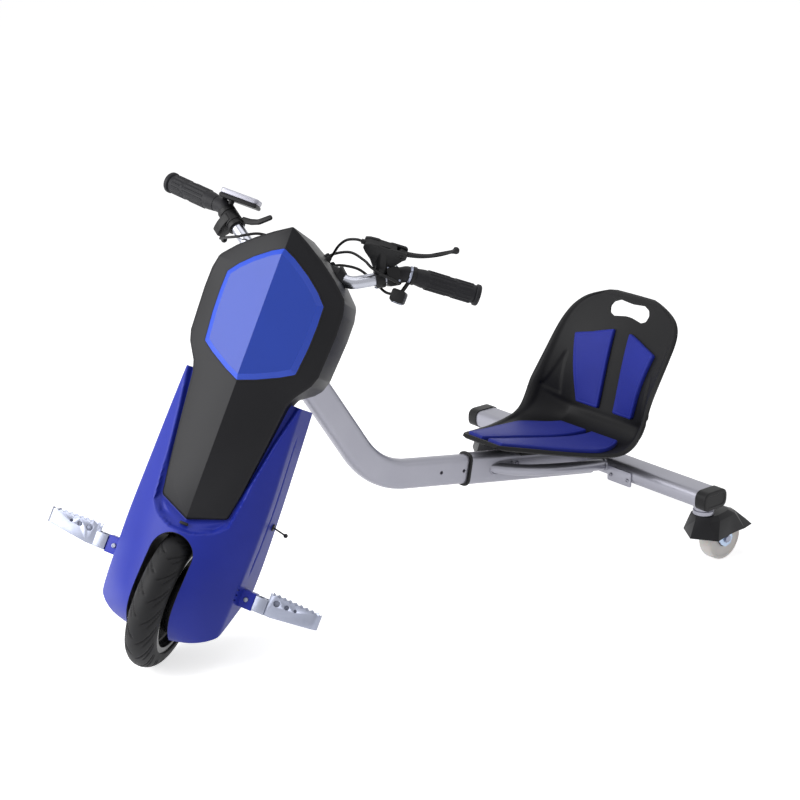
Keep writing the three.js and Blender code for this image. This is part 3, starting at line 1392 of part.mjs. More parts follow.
function makeCable(route) {
  const path = new THREE.CatmullRomCurve3(route).getSpacedPoints(12);
  return lofted(ringsAlong(circlePoints(cableRadius, 8), path, axisX));
}

addPart('tyre', makeTyre(), steerGroup, 'rubberBlack');
addPart('hub_motor', makeHubMotor(), steerGroup, 'satinBlack');
addPart('wheel_axle', makeAxle(), steerGroup, 'zinc');
addPart('front_fork', makeFork(), steerGroup, 'satinBlack');
addPart('battery_pack', makeBattery(), steerGroup, 'packGreen');
addPart('motor_controller', makeController(), steerGroup, 'zinc');
addPart('head_tube', makeHeadTube(), rakeGroup, 'satinSilver');
addPart('upper_bearing', makeBearing(headTubeTop + seatGap), rakeGroup, 'zinc');
addPart('lower_bearing', makeBearing(headTubeBottom - bearingHeight - seatGap), rakeGroup, 'zinc');
addPart('main_tube', makeMainTube(), model, 'satinSilver');
addPart('front_housing', makeHousing(), steerGroup, 'housingBlue');
addPart('rear_cover', makeRearCover(), steerGroup, 'satinBlack');
addPart('front_cover', makeFrontCover(), steerGroup, 'satinBlack');
addPart('hex_panel', makeHexPanel(), steerGroup, 'panelBlue');
addPart('charging_plug', makeChargingPlug(), steerGroup, 'rubberBlack');
addPart('handlebar', makeHandlebar(), steerGroup, 'brightSilver');
addPart('stem_clamp', makeStemClamp(), steerGroup, 'satinBlack');
addPart('bar_grommet', makeGrommet(), steerGroup, 'rubberBlack');
addPart('throttle_body', makeThrottleBody(), steerGroup, 'satinBlack');
addPart('throttle_paddle', makePaddle(), steerGroup, 'satinBlack');
addPart('display_box', makeDisplayBox(), steerGroup, 'satinBlack');
addPart('brake_bracket', makeBrakeBracket(), steerGroup, 'satinBlack');
addPart('brake_lever', makeBrakeLever(), steerGroup, 'satinBlack');
addPart('switch_block', makeSwitchBlock(), steerGroup, 'satinBlack');
addPart('horn_button', makeHornButton(), steerGroup, 'zinc');
addPart('horn_box', makeHornBox(), steerGroup, 'satinBlack');
for (const [name, route] of Object.entries(cableRoutes)) {
  addPart(name, makeCable(route), steerGroup, 'rubberBlack');
}
addPart('sleeve_tube', makeSleeve(), model, 'satinSilver');
addPart('tube_collar', makeCollar(), model, 'rubberBlack');
addPart('lock_knob', makeKnob(), model, 'rubberBlack');
addPart('rear_beam', makeBeam(), model, 'satinSilver');
addPart('seat_bracket', makeSeatBracket(), model, 'satinBlack');
addPart('seat_shell', makeSeatShell(), model, 'satinBlack');

for (const [word, side] of [['left', 1], ['right', -1]]) {
  addPart(`${word}_grip`, makeGrip(side), steerGroup, 'rubberBlack');
  addPart(`${word}_peg_bracket`, makePegBracket(side), steerGroup, 'housingBlue');
  addPart(`${word}_peg_hinge`, makePegHinge(side), steerGroup, 'zinc');
  addPart(`${word}_foot_peg`, makePeg(side), steerGroup, 'zinc');
  addPart(`${word}_end_cap`, makeEndCap(side), model, 'satinBlack');
  addPart(`${word}_brace`, makeBrace(side), model, 'satinSilver');
  addPart(`${word}_pan_pad`, padSolid(side, panPadRows), model, 'padBlue');
  addPart(`${word}_back_pad`, padSolid(side, backPadRows), model, 'padBlue');
  addPart(`${word}_caster_fork`, makeCasterFork(side), model, 'zinc');
  addPart(`${word}_caster_hood`, makeFender(side), model, 'satinBlack');
  addPart(`${word}_caster_wheel`, makeCasterWheel(side), model, 'wheelWhite');
  addPart(`${word}_caster_axle`, makeCasterAxle(side), model, 'zinc');
}

// The origin is the middle of the footprint, on the floor
model.updateMatrixWorld(true);
const bounds = new THREE.Box3().setFromObject(model, true);
const middle = bounds.getCenter(new THREE.Vector3());
model.position.set(-middle.x, -middle.y, -bounds.min.z);

export default model;
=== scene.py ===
# Drift trike scene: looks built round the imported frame, in metres, +Z up
import json
import math

import bmesh
import bpy
from mathutils import Matrix, Vector


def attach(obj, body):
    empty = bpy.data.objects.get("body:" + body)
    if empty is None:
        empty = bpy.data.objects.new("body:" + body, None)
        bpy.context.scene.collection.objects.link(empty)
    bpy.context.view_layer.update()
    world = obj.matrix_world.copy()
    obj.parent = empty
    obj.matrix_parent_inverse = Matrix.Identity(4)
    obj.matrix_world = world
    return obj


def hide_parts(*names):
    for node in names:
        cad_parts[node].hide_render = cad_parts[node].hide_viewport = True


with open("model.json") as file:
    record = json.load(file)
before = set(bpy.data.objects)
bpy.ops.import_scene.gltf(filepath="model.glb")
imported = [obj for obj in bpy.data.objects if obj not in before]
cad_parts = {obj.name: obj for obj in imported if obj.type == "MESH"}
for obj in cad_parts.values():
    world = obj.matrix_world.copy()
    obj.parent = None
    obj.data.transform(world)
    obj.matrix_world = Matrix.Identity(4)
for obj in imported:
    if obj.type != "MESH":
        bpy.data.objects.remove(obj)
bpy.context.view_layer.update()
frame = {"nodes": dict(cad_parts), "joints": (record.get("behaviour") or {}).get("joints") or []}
joints = {joint["name"]: joint for joint in frame["joints"]}
print("frame loaded:", len(frame["nodes"]), "nodes")

mm = 0.001
fullTurn = 2 * math.pi
wheelCentre = Vector(joints["front_wheel_spin"]["pos_m"])
acrossWay = Vector(joints["front_wheel_spin"]["axis"]).normalized()
steerWay = Vector(joints["steering"]["axis"]).normalized()

# Pieces are drawn in millimetres: x across, y behind and z up the steering axis for the
# front unit, and the row's own directions from under the front wheel for the rest
frontPlace = Matrix((acrossWay, -acrossWay.cross(steerWay), steerWay)).transposed().to_4x4()
frontPlace.translation = wheelCentre
frontPlace = frontPlace @ Matrix.Scale(mm, 4)
rearPlace = Matrix.Translation((0, wheelCentre.y, 0)) @ Matrix.Scale(mm, 4)
unplaced = Matrix.Identity(4)
frontBodies = {"front_unit", "front_wheel", "thumb_paddle", "brake_hand_lever"}
sides = ((1, "left"), (-1, "right"))


def steered(across, up, ahead):
    return Vector((across, -ahead, up))


def addObject(name, data):
    made = bpy.data.objects.new(name, data)
    bpy.context.scene.collection.objects.link(made)
    return made


def meshObject(name, mesh):
    data = bpy.data.meshes.new(name)
    mesh.to_mesh(data)
    mesh.free()
    return addObject(name, data)


# Camera at the photograph's angle
cameraSetup = {"turn": 49.755, "lift": 18.464, "focus": (32.86, 480, 373.6), "distance": 3438.9,
               "lens": 87.11, "sensor": 36}


def placeCamera():
    turn = math.radians(cameraSetup["turn"])
    lift = math.radians(cameraSetup["lift"])
    back = Vector((math.sin(turn) * math.cos(lift), -math.cos(turn) * math.cos(lift), math.sin(lift)))
    data = bpy.data.cameras.new("studioCamera")
    data.lens = cameraSetup["lens"]
    data.sensor_width = cameraSetup["sensor"]
    camera = addObject("studioCamera", data)
    camera.location = rearPlace @ (Vector(cameraSetup["focus"]) + back * cameraSetup["distance"])
    camera.rotation_euler = back.to_track_quat("Z", "Y").to_euler()
    bpy.context.scene.camera = camera
    bpy.context.view_layer.update()
    return back


cameraBack = placeCamera()


# Material tools
def linearColour(hexText):
    channels = [int(hexText[i:i + 2], 16) / 255 for i in (1, 3, 5)]
    return tuple(c / 12.92 if c <= 0.04045 else ((c + 0.055) / 1.055) ** 2.4 for c in channels) + (1,)


def addNode(tree, kind, settings=None, links=None):
    node = tree.nodes.new(kind)
    for key, value in (settings or {}).items():
        if isinstance(key, int) or key in node.inputs:
            node.inputs[key].default_value = value
        else:
            setattr(node, key, value)
    for key, source in (links or {}).items():
        tree.links.new(source, node.inputs[key])
    return node


def startMaterial(name):
    material = bpy.data.materials.new(name)
    material.use_nodes = True
    tree = material.node_tree
    tree.nodes.clear()
    return material, tree


# A base colour that drifts softly between two shades, a roughness that drifts with it, and a fine
# grain as bump; on leatherette the grain is made of cells, and the roughness follows them
def surfaceMaterial(name, look):
    material, tree = startMaterial(name)
    place = addNode(tree, "ShaderNodeTexCoord").outputs["Object"]
    cells = look["cells"]
    driftScale, grainScale = 1 / (look["driftSize"] * mm), 1 / (look["grainSize"] * mm)
    drift = addNode(tree, "ShaderNodeTexNoise", {"Scale": driftScale, "Detail": 4.0 if cells else 3.0},
                    {"Vector": place}).outputs["Fac"]
    if cells:
        grain = addNode(tree, "ShaderNodeTexVoronoi", {"Scale": grainScale, "feature": "SMOOTH_F1"},
                        {"Vector": place})
        grain = grain.outputs["Distance"]
    else:
        grain = addNode(tree, "ShaderNodeTexNoise", {"Scale": grainScale, "Detail": 2.0}, {"Vector": place})
        grain = grain.outputs["Fac"]
    colour = addNode(tree, "ShaderNodeMix", {"data_type": "RGBA"}, {0: drift})
    colour.inputs[6].default_value = linearColour(look["colour"])
    colour.inputs[7].default_value = linearColour(look["shade"])
    rough = addNode(tree, "ShaderNodeMapRange", {"To Min": look["roughFrom"], "To Max": look["roughTo"]},
                    {"Value": grain if cells else drift})
    bump = addNode(tree, "ShaderNodeBump", {"Strength": look["bump"], "Distance": look["grainDepth"] * mm,
                                            "invert": cells}, {"Height": grain})
    shader = addNode(tree, "ShaderNodeBsdfPrincipled",
                     {"Specular IOR Level": look["specular"], **look["sockets"]},
                     {"Base Color": colour.outputs[2], "Roughness": rough.outputs[0],
                      "Normal": bump.outputs[0]})
    addNode(tree, "ShaderNodeOutputMaterial", {}, {"Surface": shader.outputs[0]})
    return material


# One row a finish: its usual slot, two colours, the drift's size, the roughness from and to, the
# grain's size and depth, the bump's strength, the specular level and other sockets; sizes in mm
finishKeys = ("slot", "colour", "shade", "driftSize", "roughFrom", "roughTo", "grainSize", "grainDepth",
              "bump", "specular", "sockets")
finishes = {
    # moulded ABS, satin: a soft broad sheen and a faint spark-eroded grain
    "mouldedBlueAbs": ("housing_blue", "#222f96", "#1e2a8b", 60, 0.34, 0.4, 1.4, 0.05, 0.25, 0.2,
                       {"IOR": 1.5}),
    # polished ABS under a clear coat: sharp reflections along its bevel
    "polishedBlueAbs": ("panel_blue", "#1f3fa6", "#1c3b9d", 80, 0.24, 0.28, 6, 0.02, 0.1, 0.3,
                        {"IOR": 1.5, "Coat Weight": 0.12, "Coat Roughness": 0.1}),
    # lighter copy of the panel's blue for its sloping border: a painted highlight along the chamfer
    "paintedHighlightBlueAbs": ("panel_blue", "#274cc6", "#2347bc", 80, 0.2, 0.26, 6, 0.02, 0.1, 0.3, {"IOR": 1.5}),
    # moulded ABS in black, satin: greys softly where it faces the light
    "satinBlackAbs": ("black_plastic", "#161619", "#19191c", 70, 0.34, 0.4, 1.2, 0.06, 0.3, 0.17,
                      {"IOR": 1.5}),
    # moulded polypropylene seat: duller than the cover, with a coarser leather-like grain
    "seatPolypropylene": ("black_plastic", "#101012", "#141416", 50, 0.46, 0.56, 2, 0.12, 0.4, 0.2,
                          {"IOR": 1.49}),
    # glass-filled nylon of the hand controls
    "controlNylon": ("black_plastic", "#0e0e10", "#131315", 20, 0.38, 0.5, 0.9, 0.05, 0.3, 0.22,
                     {"IOR": 1.53}),
    # silver powder coat on steel tube: a metallic base with a soft sheen and a fine orange peel
    "silverPowderCoat": ("silver_paint", "#a2a2ac", "#9898a3", 90, 0.3, 0.38, 2.5, 0.05, 0.25, 0.5,
                         {"Metallic": 0.7}),
    # black powder coat on the fork and the brackets
    "blackPowderCoat": ("black_metal", "#0c0c0e", "#121214", 40, 0.35, 0.45, 2, 0.06, 0.3, 0.25,
                        {"IOR": 1.5}),
    # blue powder coat on the peg brackets
    "bluePowderCoat": ("peg_blue", "#2230a8", "#1d2a98", 30, 0.3, 0.4, 2, 0.05, 0.3, 0.3, {"IOR": 1.5}),
    # chromium plated handlebar
    "chromePlate": ("bar_chrome", "#adafb8", "#a3a5af", 40, 0.2, 0.26, 8, 0.02, 0.1, 0.5, {"Metallic": 1.0}),
    # bright zinc plate: pale, slightly cloudy metal
    "zincPlate": ("zinc_steel", "#989cab", "#878c9d", 9, 0.28, 0.4, 1.5, 0.04, 0.25, 0.5, {"Metallic": 1.0}),
    # clear blue passivated zinc of the caster side plates
    "blueZincPlate": ("zinc_steel", "#c4d6ee", "#aec4e2", 8, 0.25, 0.36, 1.5, 0.04, 0.2, 0.5,
                      {"Metallic": 0.6}),
    # tyre rubber: dark, dull and a little dusty in the grooves
    "tyreRubber": ("tyre_rubber", "#111113", "#1b1b1d", 14, 0.5, 0.68, 1.1, 0.08, 0.4, 0.2, {"IOR": 1.52}),
    # moulded thermoplastic rubber of grips, plugs and grommets
    "gripRubber": ("black_rubber", "#18181b", "#1e1e22", 16, 0.46, 0.6, 0.9, 0.06, 0.35, 0.22, {"IOR": 1.5}),
    # extruded cable jacket
    "cableJacket": ("black_rubber", "#0c0c0e", "#111113", 12, 0.34, 0.44, 2, 0.02, 0.2, 0.3, {"IOR": 1.5}),
    # cast polyurethane wheel: milky, waxy and slightly translucent
    "castPolyurethane": ("roller_white", "#e2deda", "#d6d1cd", 20, 0.3, 0.4, 3, 0.03, 0.15, 0.5,
                         {"IOR": 1.5, "Subsurface Weight": 0.15, "Subsurface Scale": 0.004}),
    # painted cast alloy of the hub motor
    "hubPaint": ("hub_black", "#0d0d0f", "#131316", 30, 0.2, 0.3, 3, 0.04, 0.25, 0.3,
                 {"IOR": 1.5, "Coat Weight": 0.3}),
    # heat-shrink sleeve of the battery
    "packSleeve": ("pack_wrap", "#2b5a3a", "#254f33", 25, 0.3, 0.4, 4, 0.1, 0.3, 0.5, {"IOR": 1.5}),
    # bare extruded aluminium of the motor controller
    "extrudedAluminium": ("zinc_steel", "#b8bac0", "#a4a6ad", 12, 0.34, 0.46, 1.5, 0.05, 0.3, 0.5,
                          {"Metallic": 1.0}),
    # leatherette of the cushions: pebbled cells of 1.6 mm with a faint sheen
    "padLeatherette": ("pad_fabric", "#232f96", "#1f2a88", 45, 0.48, 0.6, 1.6, 0.12, 0.35, 0.2,
                       {"IOR": 1.48, "Sheen Weight": 0.06, "Sheen Roughness": 0.4}),
}
looks = {name: dict(zip(finishKeys, row), cells=name == "padLeatherette") for name, row in finishes.items()}
materials = {name: surfaceMaterial(name, look) for name, look in looks.items()}
print("materials ready:", len(materials))


# Shaping tools
def roundedCorners(points, radius, steps=4, closed=True):
    result = []
    count = len(points)
    for i, point in enumerate(points):
        size = radius[i] if isinstance(radius, (list, tuple)) else radius
        here = Vector(point)
        if size == 0 or (not closed and i in (0, count - 1)):
            result.append(here)
            continue
        before = Vector(points[i - 1]) - here
        after = Vector(points[(i + 1) % count]) - here
        room = min(before.length, after.length) * 0.48
        cut = min(size / math.tan(max(before.angle(after), 0.01) / 2), room)
        start = here + before.normalized() * cut
        end = here + after.normalized() * cut
        for step in range(steps + 1):
            t = step / steps
            result.append(start * (1 - t) ** 2 + here * 2 * t * (1 - t) + end * t ** 2)
    return result


# A half outline and the values of its corners, mirrored about x = 0
def mirrored(half, values):
    back = [i for i in range(len(half) - 1, -1, -1) if half[i][0] != 0]
    return half + [(-half[i][0], half[i][1]) for i in back], values + [values[i] for i in back]


# The outline moved inwards by the same distance on every side
def insetOutline(points, distance):
    points = [Vector((p[0], p[1])) for p in points]
    turn = sum(points[i - 1].x * points[i].y - points[i].x * points[i - 1].y for i in range(len(points)))
    inwards = math.copysign(distance, turn)
    result = []
    for i in range(len(points)):
        before = (points[i] - points[i - 1]).normalized()
        after = (points[(i + 1) % len(points)] - points[i]).normalized()
        edge = Vector((-before.y, before.x))
        middle = (edge + Vector((-after.y, after.x))).normalized()
        result.append(tuple(points[i] + middle * (inwards / middle.dot(edge))))
    return result


# Flat face with a border of the given width: a ring of quads round one inner face
def borderedFace(mesh, outline, sizes, width, steps):
    outer = roundedCorners(outline, sizes, steps)
    inner = roundedCorners(insetOutline(outline, width), [size * 0.6 for size in sizes], steps)
    rings = [[mesh.verts.new(Vector((p.x, 0, p.y))) for p in ring] for ring in (outer, inner)]
    for i in range(len(outer)):
        mesh.faces.new((rings[0][i - 1], rings[0][i], rings[1][i], rings[1][i - 1]))
    mesh.faces.new(rings[1])
    return outer


def arcOutline(radius, start, end, steps):
    angles = [start + (end - start) * i / steps for i in range(steps + 1)]
    return [(radius * math.cos(angle), radius * math.sin(angle)) for angle in angles]


def circleOutline(radius, steps):
    return arcOutline(radius, 0, fullTurn, steps)[:-1]


def boxOutline(width, height, radius, steps=5):
    x, y = width / 2, height / 2
    return [tuple(p) for p in roundedCorners([(x, y), (-x, y), (-x, -y), (x, -y)], radius, steps)]


# Straight runs joined by bends
def bentPath(corners, radius, steps=12):
    return roundedCorners(corners, radius, steps, closed=False)


def smoothPath(points, steps=9):
    result = []
    count = len(points)
    for i in range(count - 1):
        before = points[max(i - 1, 0)]
        a, b = points[i], points[i + 1]
        after = points[min(i + 2, count - 1)]
        for step in range(steps):
            t = step / steps
            result.append(0.5 * ((2 * a) + (b - before) * t + (2 * before - 5 * a + 4 * b - after) * t * t
                                 + (3 * a - before - 3 * b + after) * t ** 3))
    result.append(points[-1].copy())
    return result


# Index of the row that starts the interval where the value lies; a row's first item is its key
def intervalAt(rows, value):
    i = 0
    while i < len(rows) - 2 and rows[i + 1][0] < value:
        i += 1
    return i


def tableAt(rows, value):
    i = intervalAt(rows, value)
    (a, first), (b, second) = rows[i:i + 2]
    return first + (second - first) * (value - a) / (b - a)


def smoothShare(value):
    value = max(0, min(1, value))
    return value * value * (3 - 2 * value)


def gridMesh(columns, rows, size=1):
    mesh = bmesh.new()
    bmesh.ops.create_grid(mesh, x_segments=columns, y_segments=rows, size=size)
    return mesh


def vertsOf(items):
    return [item for item in items if isinstance(item, bmesh.types.BMVert)]


def openEdges(mesh):
    return [edge for edge in mesh.edges if edge.is_boundary]


def facesOut(mesh):
    bmesh.ops.recalc_face_normals(mesh, faces=mesh.faces)


def thicken(mesh, wall):
    bmesh.ops.solidify(mesh, geom=mesh.faces[:], thickness=wall)


def extruded(mesh, edges):
    return vertsOf(bmesh.ops.extrude_edge_only(mesh, edges=edges)["geom"])


def closeOpening(mesh):
    bmesh.ops.contextual_create(mesh, geom=openEdges(mesh))


def bisect(mesh, point, way, clear=False):
    bmesh.ops.bisect_plane(mesh, geom=mesh.verts[:] + mesh.edges[:] + mesh.faces[:], dist=0.001,
                           plane_co=point, plane_no=way, clear_outer=clear)


def bevelled(mesh, edges, width, segments=2, clamp=False):
    bmesh.ops.bevel(mesh, geom=edges, offset=width, offset_type="OFFSET", segments=segments, profile=0.5,
                    affect="EDGES", clamp_overlap=clamp, material=-1)


# Faces of an open sheet made to point the same way, given by its lowest face along an axis
def pointSheet(mesh, axis, sign):
    facesOut(mesh)
    lowest = min(mesh.faces, key=lambda face: face.calc_center_median()[axis])
    if lowest.normal[axis] * sign < 0:
        bmesh.ops.reverse_faces(mesh, faces=mesh.faces)


# Carries an outline along a path; scales changes its size on the way
def sweep(mesh, outline, path, side=(1, 0, 0), scales=None, caps=True):
    frames = []
    across = Vector(side)
    for i, point in enumerate(path):
        back = path[max(i - 1, 0)]
        front = path[min(i + 1, len(path) - 1)]
        ahead = ((point - back).normalized() + (front - point).normalized()).normalized()
        across = (across - ahead * across.dot(ahead)).normalized()
        turn = Matrix((across, ahead.cross(across), ahead)).transposed().to_4x4()
        turn.translation = point
        frames.append(turn @ Matrix.Scale(scales[i] if scales else 1, 4))
    ring = [mesh.verts.new(frames[0] @ Vector((x, y, 0))) for x, y in outline]
    edges = [mesh.edges.new((ring[i], ring[(i + 1) % len(ring)])) for i in range(len(ring))]
    if caps:
        bmesh.ops.contextual_create(mesh, geom=edges)
    for i in range(1, len(frames)):
        grown = bmesh.ops.extrude_edge_only(mesh, edges=edges)["geom"]
        ring = vertsOf(grown)
        edges = [item for item in grown if isinstance(item, bmesh.types.BMEdge)
                 and item.verts[0] in ring and item.verts[1] in ring]
        bmesh.ops.transform(mesh, matrix=frames[i] @ frames[i - 1].inverted(), verts=ring)
    if caps:
        bmesh.ops.contextual_create(mesh, geom=edges)


# A profile of (radius, along) points spun about an axis; a closed one makes a ring
def turnProfile(mesh, profile, origin, axis, steps=48, closed=False):
    axis = Vector(axis).normalized()
    side = axis.orthogonal().normalized()
    if closed:
        profile = profile + [profile[0]]
    points = [mesh.verts.new(Vector(origin) + side * radius + axis * along) for radius, along in profile]
    lines = [mesh.edges.new((points[i], points[i + 1])) for i in range(len(points) - 1)]
    if closed:
        bmesh.ops.pointmerge(mesh, verts=[points[0], points[-1]], merge_co=points[0].co.copy())
        points = points[:-1]
        lines = [line for line in lines if line.is_valid]
    before = set(mesh.verts) - set(points)
    bmesh.ops.spin(mesh, geom=[p for p in points if p.is_valid] + lines, cent=origin, axis=axis,
                   dvec=(0, 0, 0), angle=fullTurn, steps=steps, use_merge=True, use_duplicate=False)
    bmesh.ops.remove_doubles(mesh, verts=[v for v in mesh.verts if v not in before], dist=0.001)


# A flat outline pushed along its frame's z, with its rims bevelled
def plate(mesh, outline, thickness, place, bevelWidth=0, segments=2):
    base = [mesh.verts.new(place @ Vector((point[0], point[1], 0))) for point in outline]
    face = mesh.faces.new(base)
    top = vertsOf(bmesh.ops.extrude_face_region(mesh, geom=[face])["geom"])
    bmesh.ops.translate(mesh, vec=place.to_3x3() @ Vector((0, 0, thickness)), verts=top)
    if bevelWidth:
        rims = [e for v in base + top for e in v.link_edges if (e.verts[0] in base) == (e.verts[1] in base)]
        bevelled(mesh, list(set(rims)), bevelWidth, segments)


def roundedBlock(mesh, size, centre, radius, segments=3):
    place = Matrix.Translation(centre) @ Matrix.Diagonal((*size, 1))
    made = bmesh.ops.create_cube(mesh, size=1, matrix=place)
    bevelled(mesh, list({edge for vert in made["verts"] for edge in vert.link_edges}), radius, segments)


# Insets the faces and moves what is left of them
def sinkFaces(mesh, faces, widths, shift):
    for width in widths:
        bmesh.ops.inset_region(mesh, faces=faces, thickness=width, use_even_offset=True)
        faces = [face for face in faces if face.is_valid]
    bmesh.ops.translate(mesh, vec=shift, verts=list({vert for face in faces for vert in face.verts}))


def aimed(origin, alongZ, alongX):
    alongZ = Vector(alongZ).normalized()
    alongX = (Vector(alongX) - alongZ * alongZ.dot(Vector(alongX))).normalized()
    place = Matrix((alongX, alongZ.cross(alongX), alongZ)).transposed().to_4x4()
    place.translation = origin
    return place


# Button head with a hexagon socket
def screw(mesh, centre, way, radius, height, socket=0.55):
    profile = [(0, height * 0.45), (radius * socket, height * 0.45), (radius * socket, height),
               (radius * 0.8, height * 0.95), (radius, height * 0.4), (radius, 0), (0, 0)]
    turnProfile(mesh, profile, centre, way, 18)


pieceCount = {"made": 0}


def finishPiece(mesh, name, material, body="front_unit", node=None, place=None, sharp=35,
                normals=True):
    if normals:
        facesOut(mesh)
    mesh.transform(place or (frontPlace if body in frontBodies else rearPlace))
    piece = meshObject(name, mesh)
    piece.data.materials.append(materials[material])
    piece.data.shade_smooth()
    piece.data.set_sharp_from_angle(angle=math.radians(sharp))
    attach(piece, body)
    if node:
        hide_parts(node)
    pieceCount["made"] += 1
    return piece


# Cuts the shapes out of an unplaced piece, then puts it in its place
def carve(piece, cutters, place):
    for cutter in cutters:
        facesOut(cutter)
        tool = meshObject("cutter", cutter)
        data = tool.data
        modifier = piece.modifiers.new("carve", "BOOLEAN")
        modifier.operation = "DIFFERENCE"
        modifier.solver = "EXACT"
        modifier.object = tool
        bpy.context.view_layer.update()
        graph = bpy.context.evaluated_depsgraph_get()
        finished = bpy.data.meshes.new_from_object(piece.evaluated_get(graph))
        old = piece.data
        piece.modifiers.clear()
        piece.data = finished
        finished.name = piece.name
        bpy.data.meshes.remove(old)
        bpy.data.objects.remove(tool)
        bpy.data.meshes.remove(data)
    piece.data.transform(place)


# A CAD solid with its edges softened, for pieces whose shape is already right
def softened(node, material, body="front_unit", width=0.6, segments=2, sharp=30):
    mesh = bmesh.new()
    mesh.from_mesh(frame["nodes"][node].data)
    bmesh.ops.remove_doubles(mesh, verts=mesh.verts, dist=0.01 * mm)
    bmesh.ops.dissolve_limit(mesh, angle_limit=math.radians(2), verts=mesh.verts, edges=mesh.edges)
    edges = [e for e in mesh.edges if len(e.link_faces) == 2 and e.calc_face_angle(0) > math.radians(sharp)]
    bevelled(mesh, edges, width * mm, segments, clamp=True)
    finishPiece(mesh, node + "_body", material, body, node, place=unplaced, sharp=32, normals=False)


# Front wheel
tyre = {"radius": 127, "half": 27, "bead": 93.6, "beadHalf": 20, "around": 560, "over": 40, "lean": 1.12,
        "grooves": 20, "grooveDepth": 2.4, "grooveWidth": 3.4, "sweep": 0.42,
        "rows": ((0, 0.06, 0.86, 0), (0.5, 0.32, 0.92, 0.12))}


# Leaning grooves leave the middle of the tread in turn to the left and the right
def tyreDepth(angle, lean):
    reach = abs(lean)
    pitch = fullTurn / tyre["grooves"]
    deepest = 0
    for start, first, last, shift in tyre["rows"]:
        if first < reach < last:
            bend = tyre["sweep"] * (reach + shift) ** 1.5
            offset = (angle - bend + (start + (0.25 if lean > 0 else 0)) * pitch) % pitch
            gap = min(offset, pitch - offset) * tyre["radius"] * 0.8
            fade = min(1, (reach - first) / 0.1, (last - reach) / 0.1)
            width = tyre["grooveWidth"] * (0.35 + 0.3 * reach)
            deepest = max(deepest, fade * max(0, 1 - (gap / width) ** 2))
    return deepest * tyre["grooveDepth"]


def makeTyre():
    mesh = gridMesh(tyre["around"], tyre["over"])
    crown = tyre["radius"] - tyre["half"]
    for vert in mesh.verts:
        angle = vert.co.x * math.pi
        lean = vert.co.y * tyre["lean"]
        over = lean * math.pi / 2
        section = tyre["half"] - (tyreDepth(angle, lean) if abs(lean) < 1 else 0)
        radius = crown + section * math.cos(over)
        vert.co = steered(section * math.sin(over), radius * math.sin(angle), radius * math.cos(angle))
    bmesh.ops.remove_doubles(mesh, verts=mesh.verts, dist=0.01)
    for vert in extruded(mesh, openEdges(mesh)):
        radial = Vector((0, vert.co.y, vert.co.z)).normalized() * tyre["bead"]
        vert.co = Vector((math.copysign(tyre["beadHalf"], vert.co.x), radial.y, radial.z))
    bmesh.ops.bridge_loops(mesh, edges=openEdges(mesh))
    finishPiece(mesh, "treaded_tyre", "tyreRubber", "front_wheel", "tyre", sharp=50)


hub = {"half": [(6.5, 31), (58, 31), (58, 5), (84, 5), (84, 24), (98, 24), (98, 19), (93, 19)],
       "corners": [0, 3, 4, 4, 1.5, 1.5, 0.8, 1], "screws": 9, "screwCircle": 50}


def makeHub():
    mesh = bmesh.new()
    outline = hub["half"] + [(radius, -along) for radius, along in reversed(hub["half"])]
    corners = hub["corners"] + hub["corners"][::-1]
    profile = [tuple(p) for p in roundedCorners(outline, corners, 3)]
    turnProfile(mesh, profile, (0, 0, 0), (1, 0, 0), 72, closed=True)
    for side in (-1, 1):
        for ahead, up in circleOutline(hub["screwCircle"], hub["screws"]):
            screw(mesh, steered(side * hub["half"][0][1], up, ahead), (side, 0, 0), 4, 3)
    finishPiece(mesh, "hub_wheel", "hubPaint", "front_wheel", "hub_motor")


# Fairing: levels up the steering axis with half width, crease, front and back places
fairing = {"levels": [(-68, 91, -5, 39, -65), (-55, 103, 6, 69, -65), (-31, 108, 14, 97, -65),
                      (0, 110, 18, 108, -65), (51, 112, 18, 101.5, -64), (108, 114, 17, 89.5, -55),
                      (200, 113, 18, 86, -42), (302, 109, 28, 84, -33.5), (372, 106, 34, 80, -26)],
           "draft": 6, "bow": 1.7, "corner": 0.66, "rows": 190, "columns": 170, "wall": 3,
           "hemSlope": 1.09, "hemAhead": 46, "slotHalf": 38, "slotTop": 111, "lip": 10, "lipDepth": 15,
           "openBeyond": 44, "grooveDepth": 2.2, "grooveLow": 75, "grooveHigh": 330,
           "grooveEnds": 20, "smoothings": 6, "coverGap": 7,
           "pocket": (60, 23, 31), "pocketAt": (112, 41, -21),
           "vent": (30, 9, 2.4), "ventAt": (100, 36, 14), "vents": 3}
coverHalf = [(0, 645.5), (31, 628.5), (61, 609.5), (89, 588), (114, 564), (119.5, 540), (120.5, 505),
             (119, 470), (117, 430), (111, 412), (92, 384), (85.5, 366), (78.4, 300), (66.7, 200),
             (60.3, 158), (0, 135.5)]
recessHalf = [(0, 660), (128, 600), (130, 378), (104, 369), (90, 300), (70, 170), (67, 146), (52, 129),
              (17, 117), (0, 117)]


# Half width, crease, front and back of the fairing at a height, blended between its levels
def levelAt(up):
    rows = fairing["levels"]
    i = intervalAt(rows, up)
    low, high = rows[i], rows[i + 1]
    before, after = rows[max(i - 1, 0)], rows[min(i + 2, len(rows) - 1)]
    gap = high[0] - low[0]
    t = (up - low[0]) / gap
    result = []
    for k in range(1, 5):
        slopeA = (high[k] - before[k]) / (high[0] - before[0]) * gap
        slopeB = (after[k] - low[k]) / (after[0] - low[0]) * gap
        result.append((2 * t ** 3 - 3 * t ** 2 + 1) * low[k] + (t ** 3 - 2 * t ** 2 + t) * slopeA
                      + (3 * t ** 2 - 2 * t ** 3) * high[k] + (t ** 3 - t ** 2) * slopeB)
    return result


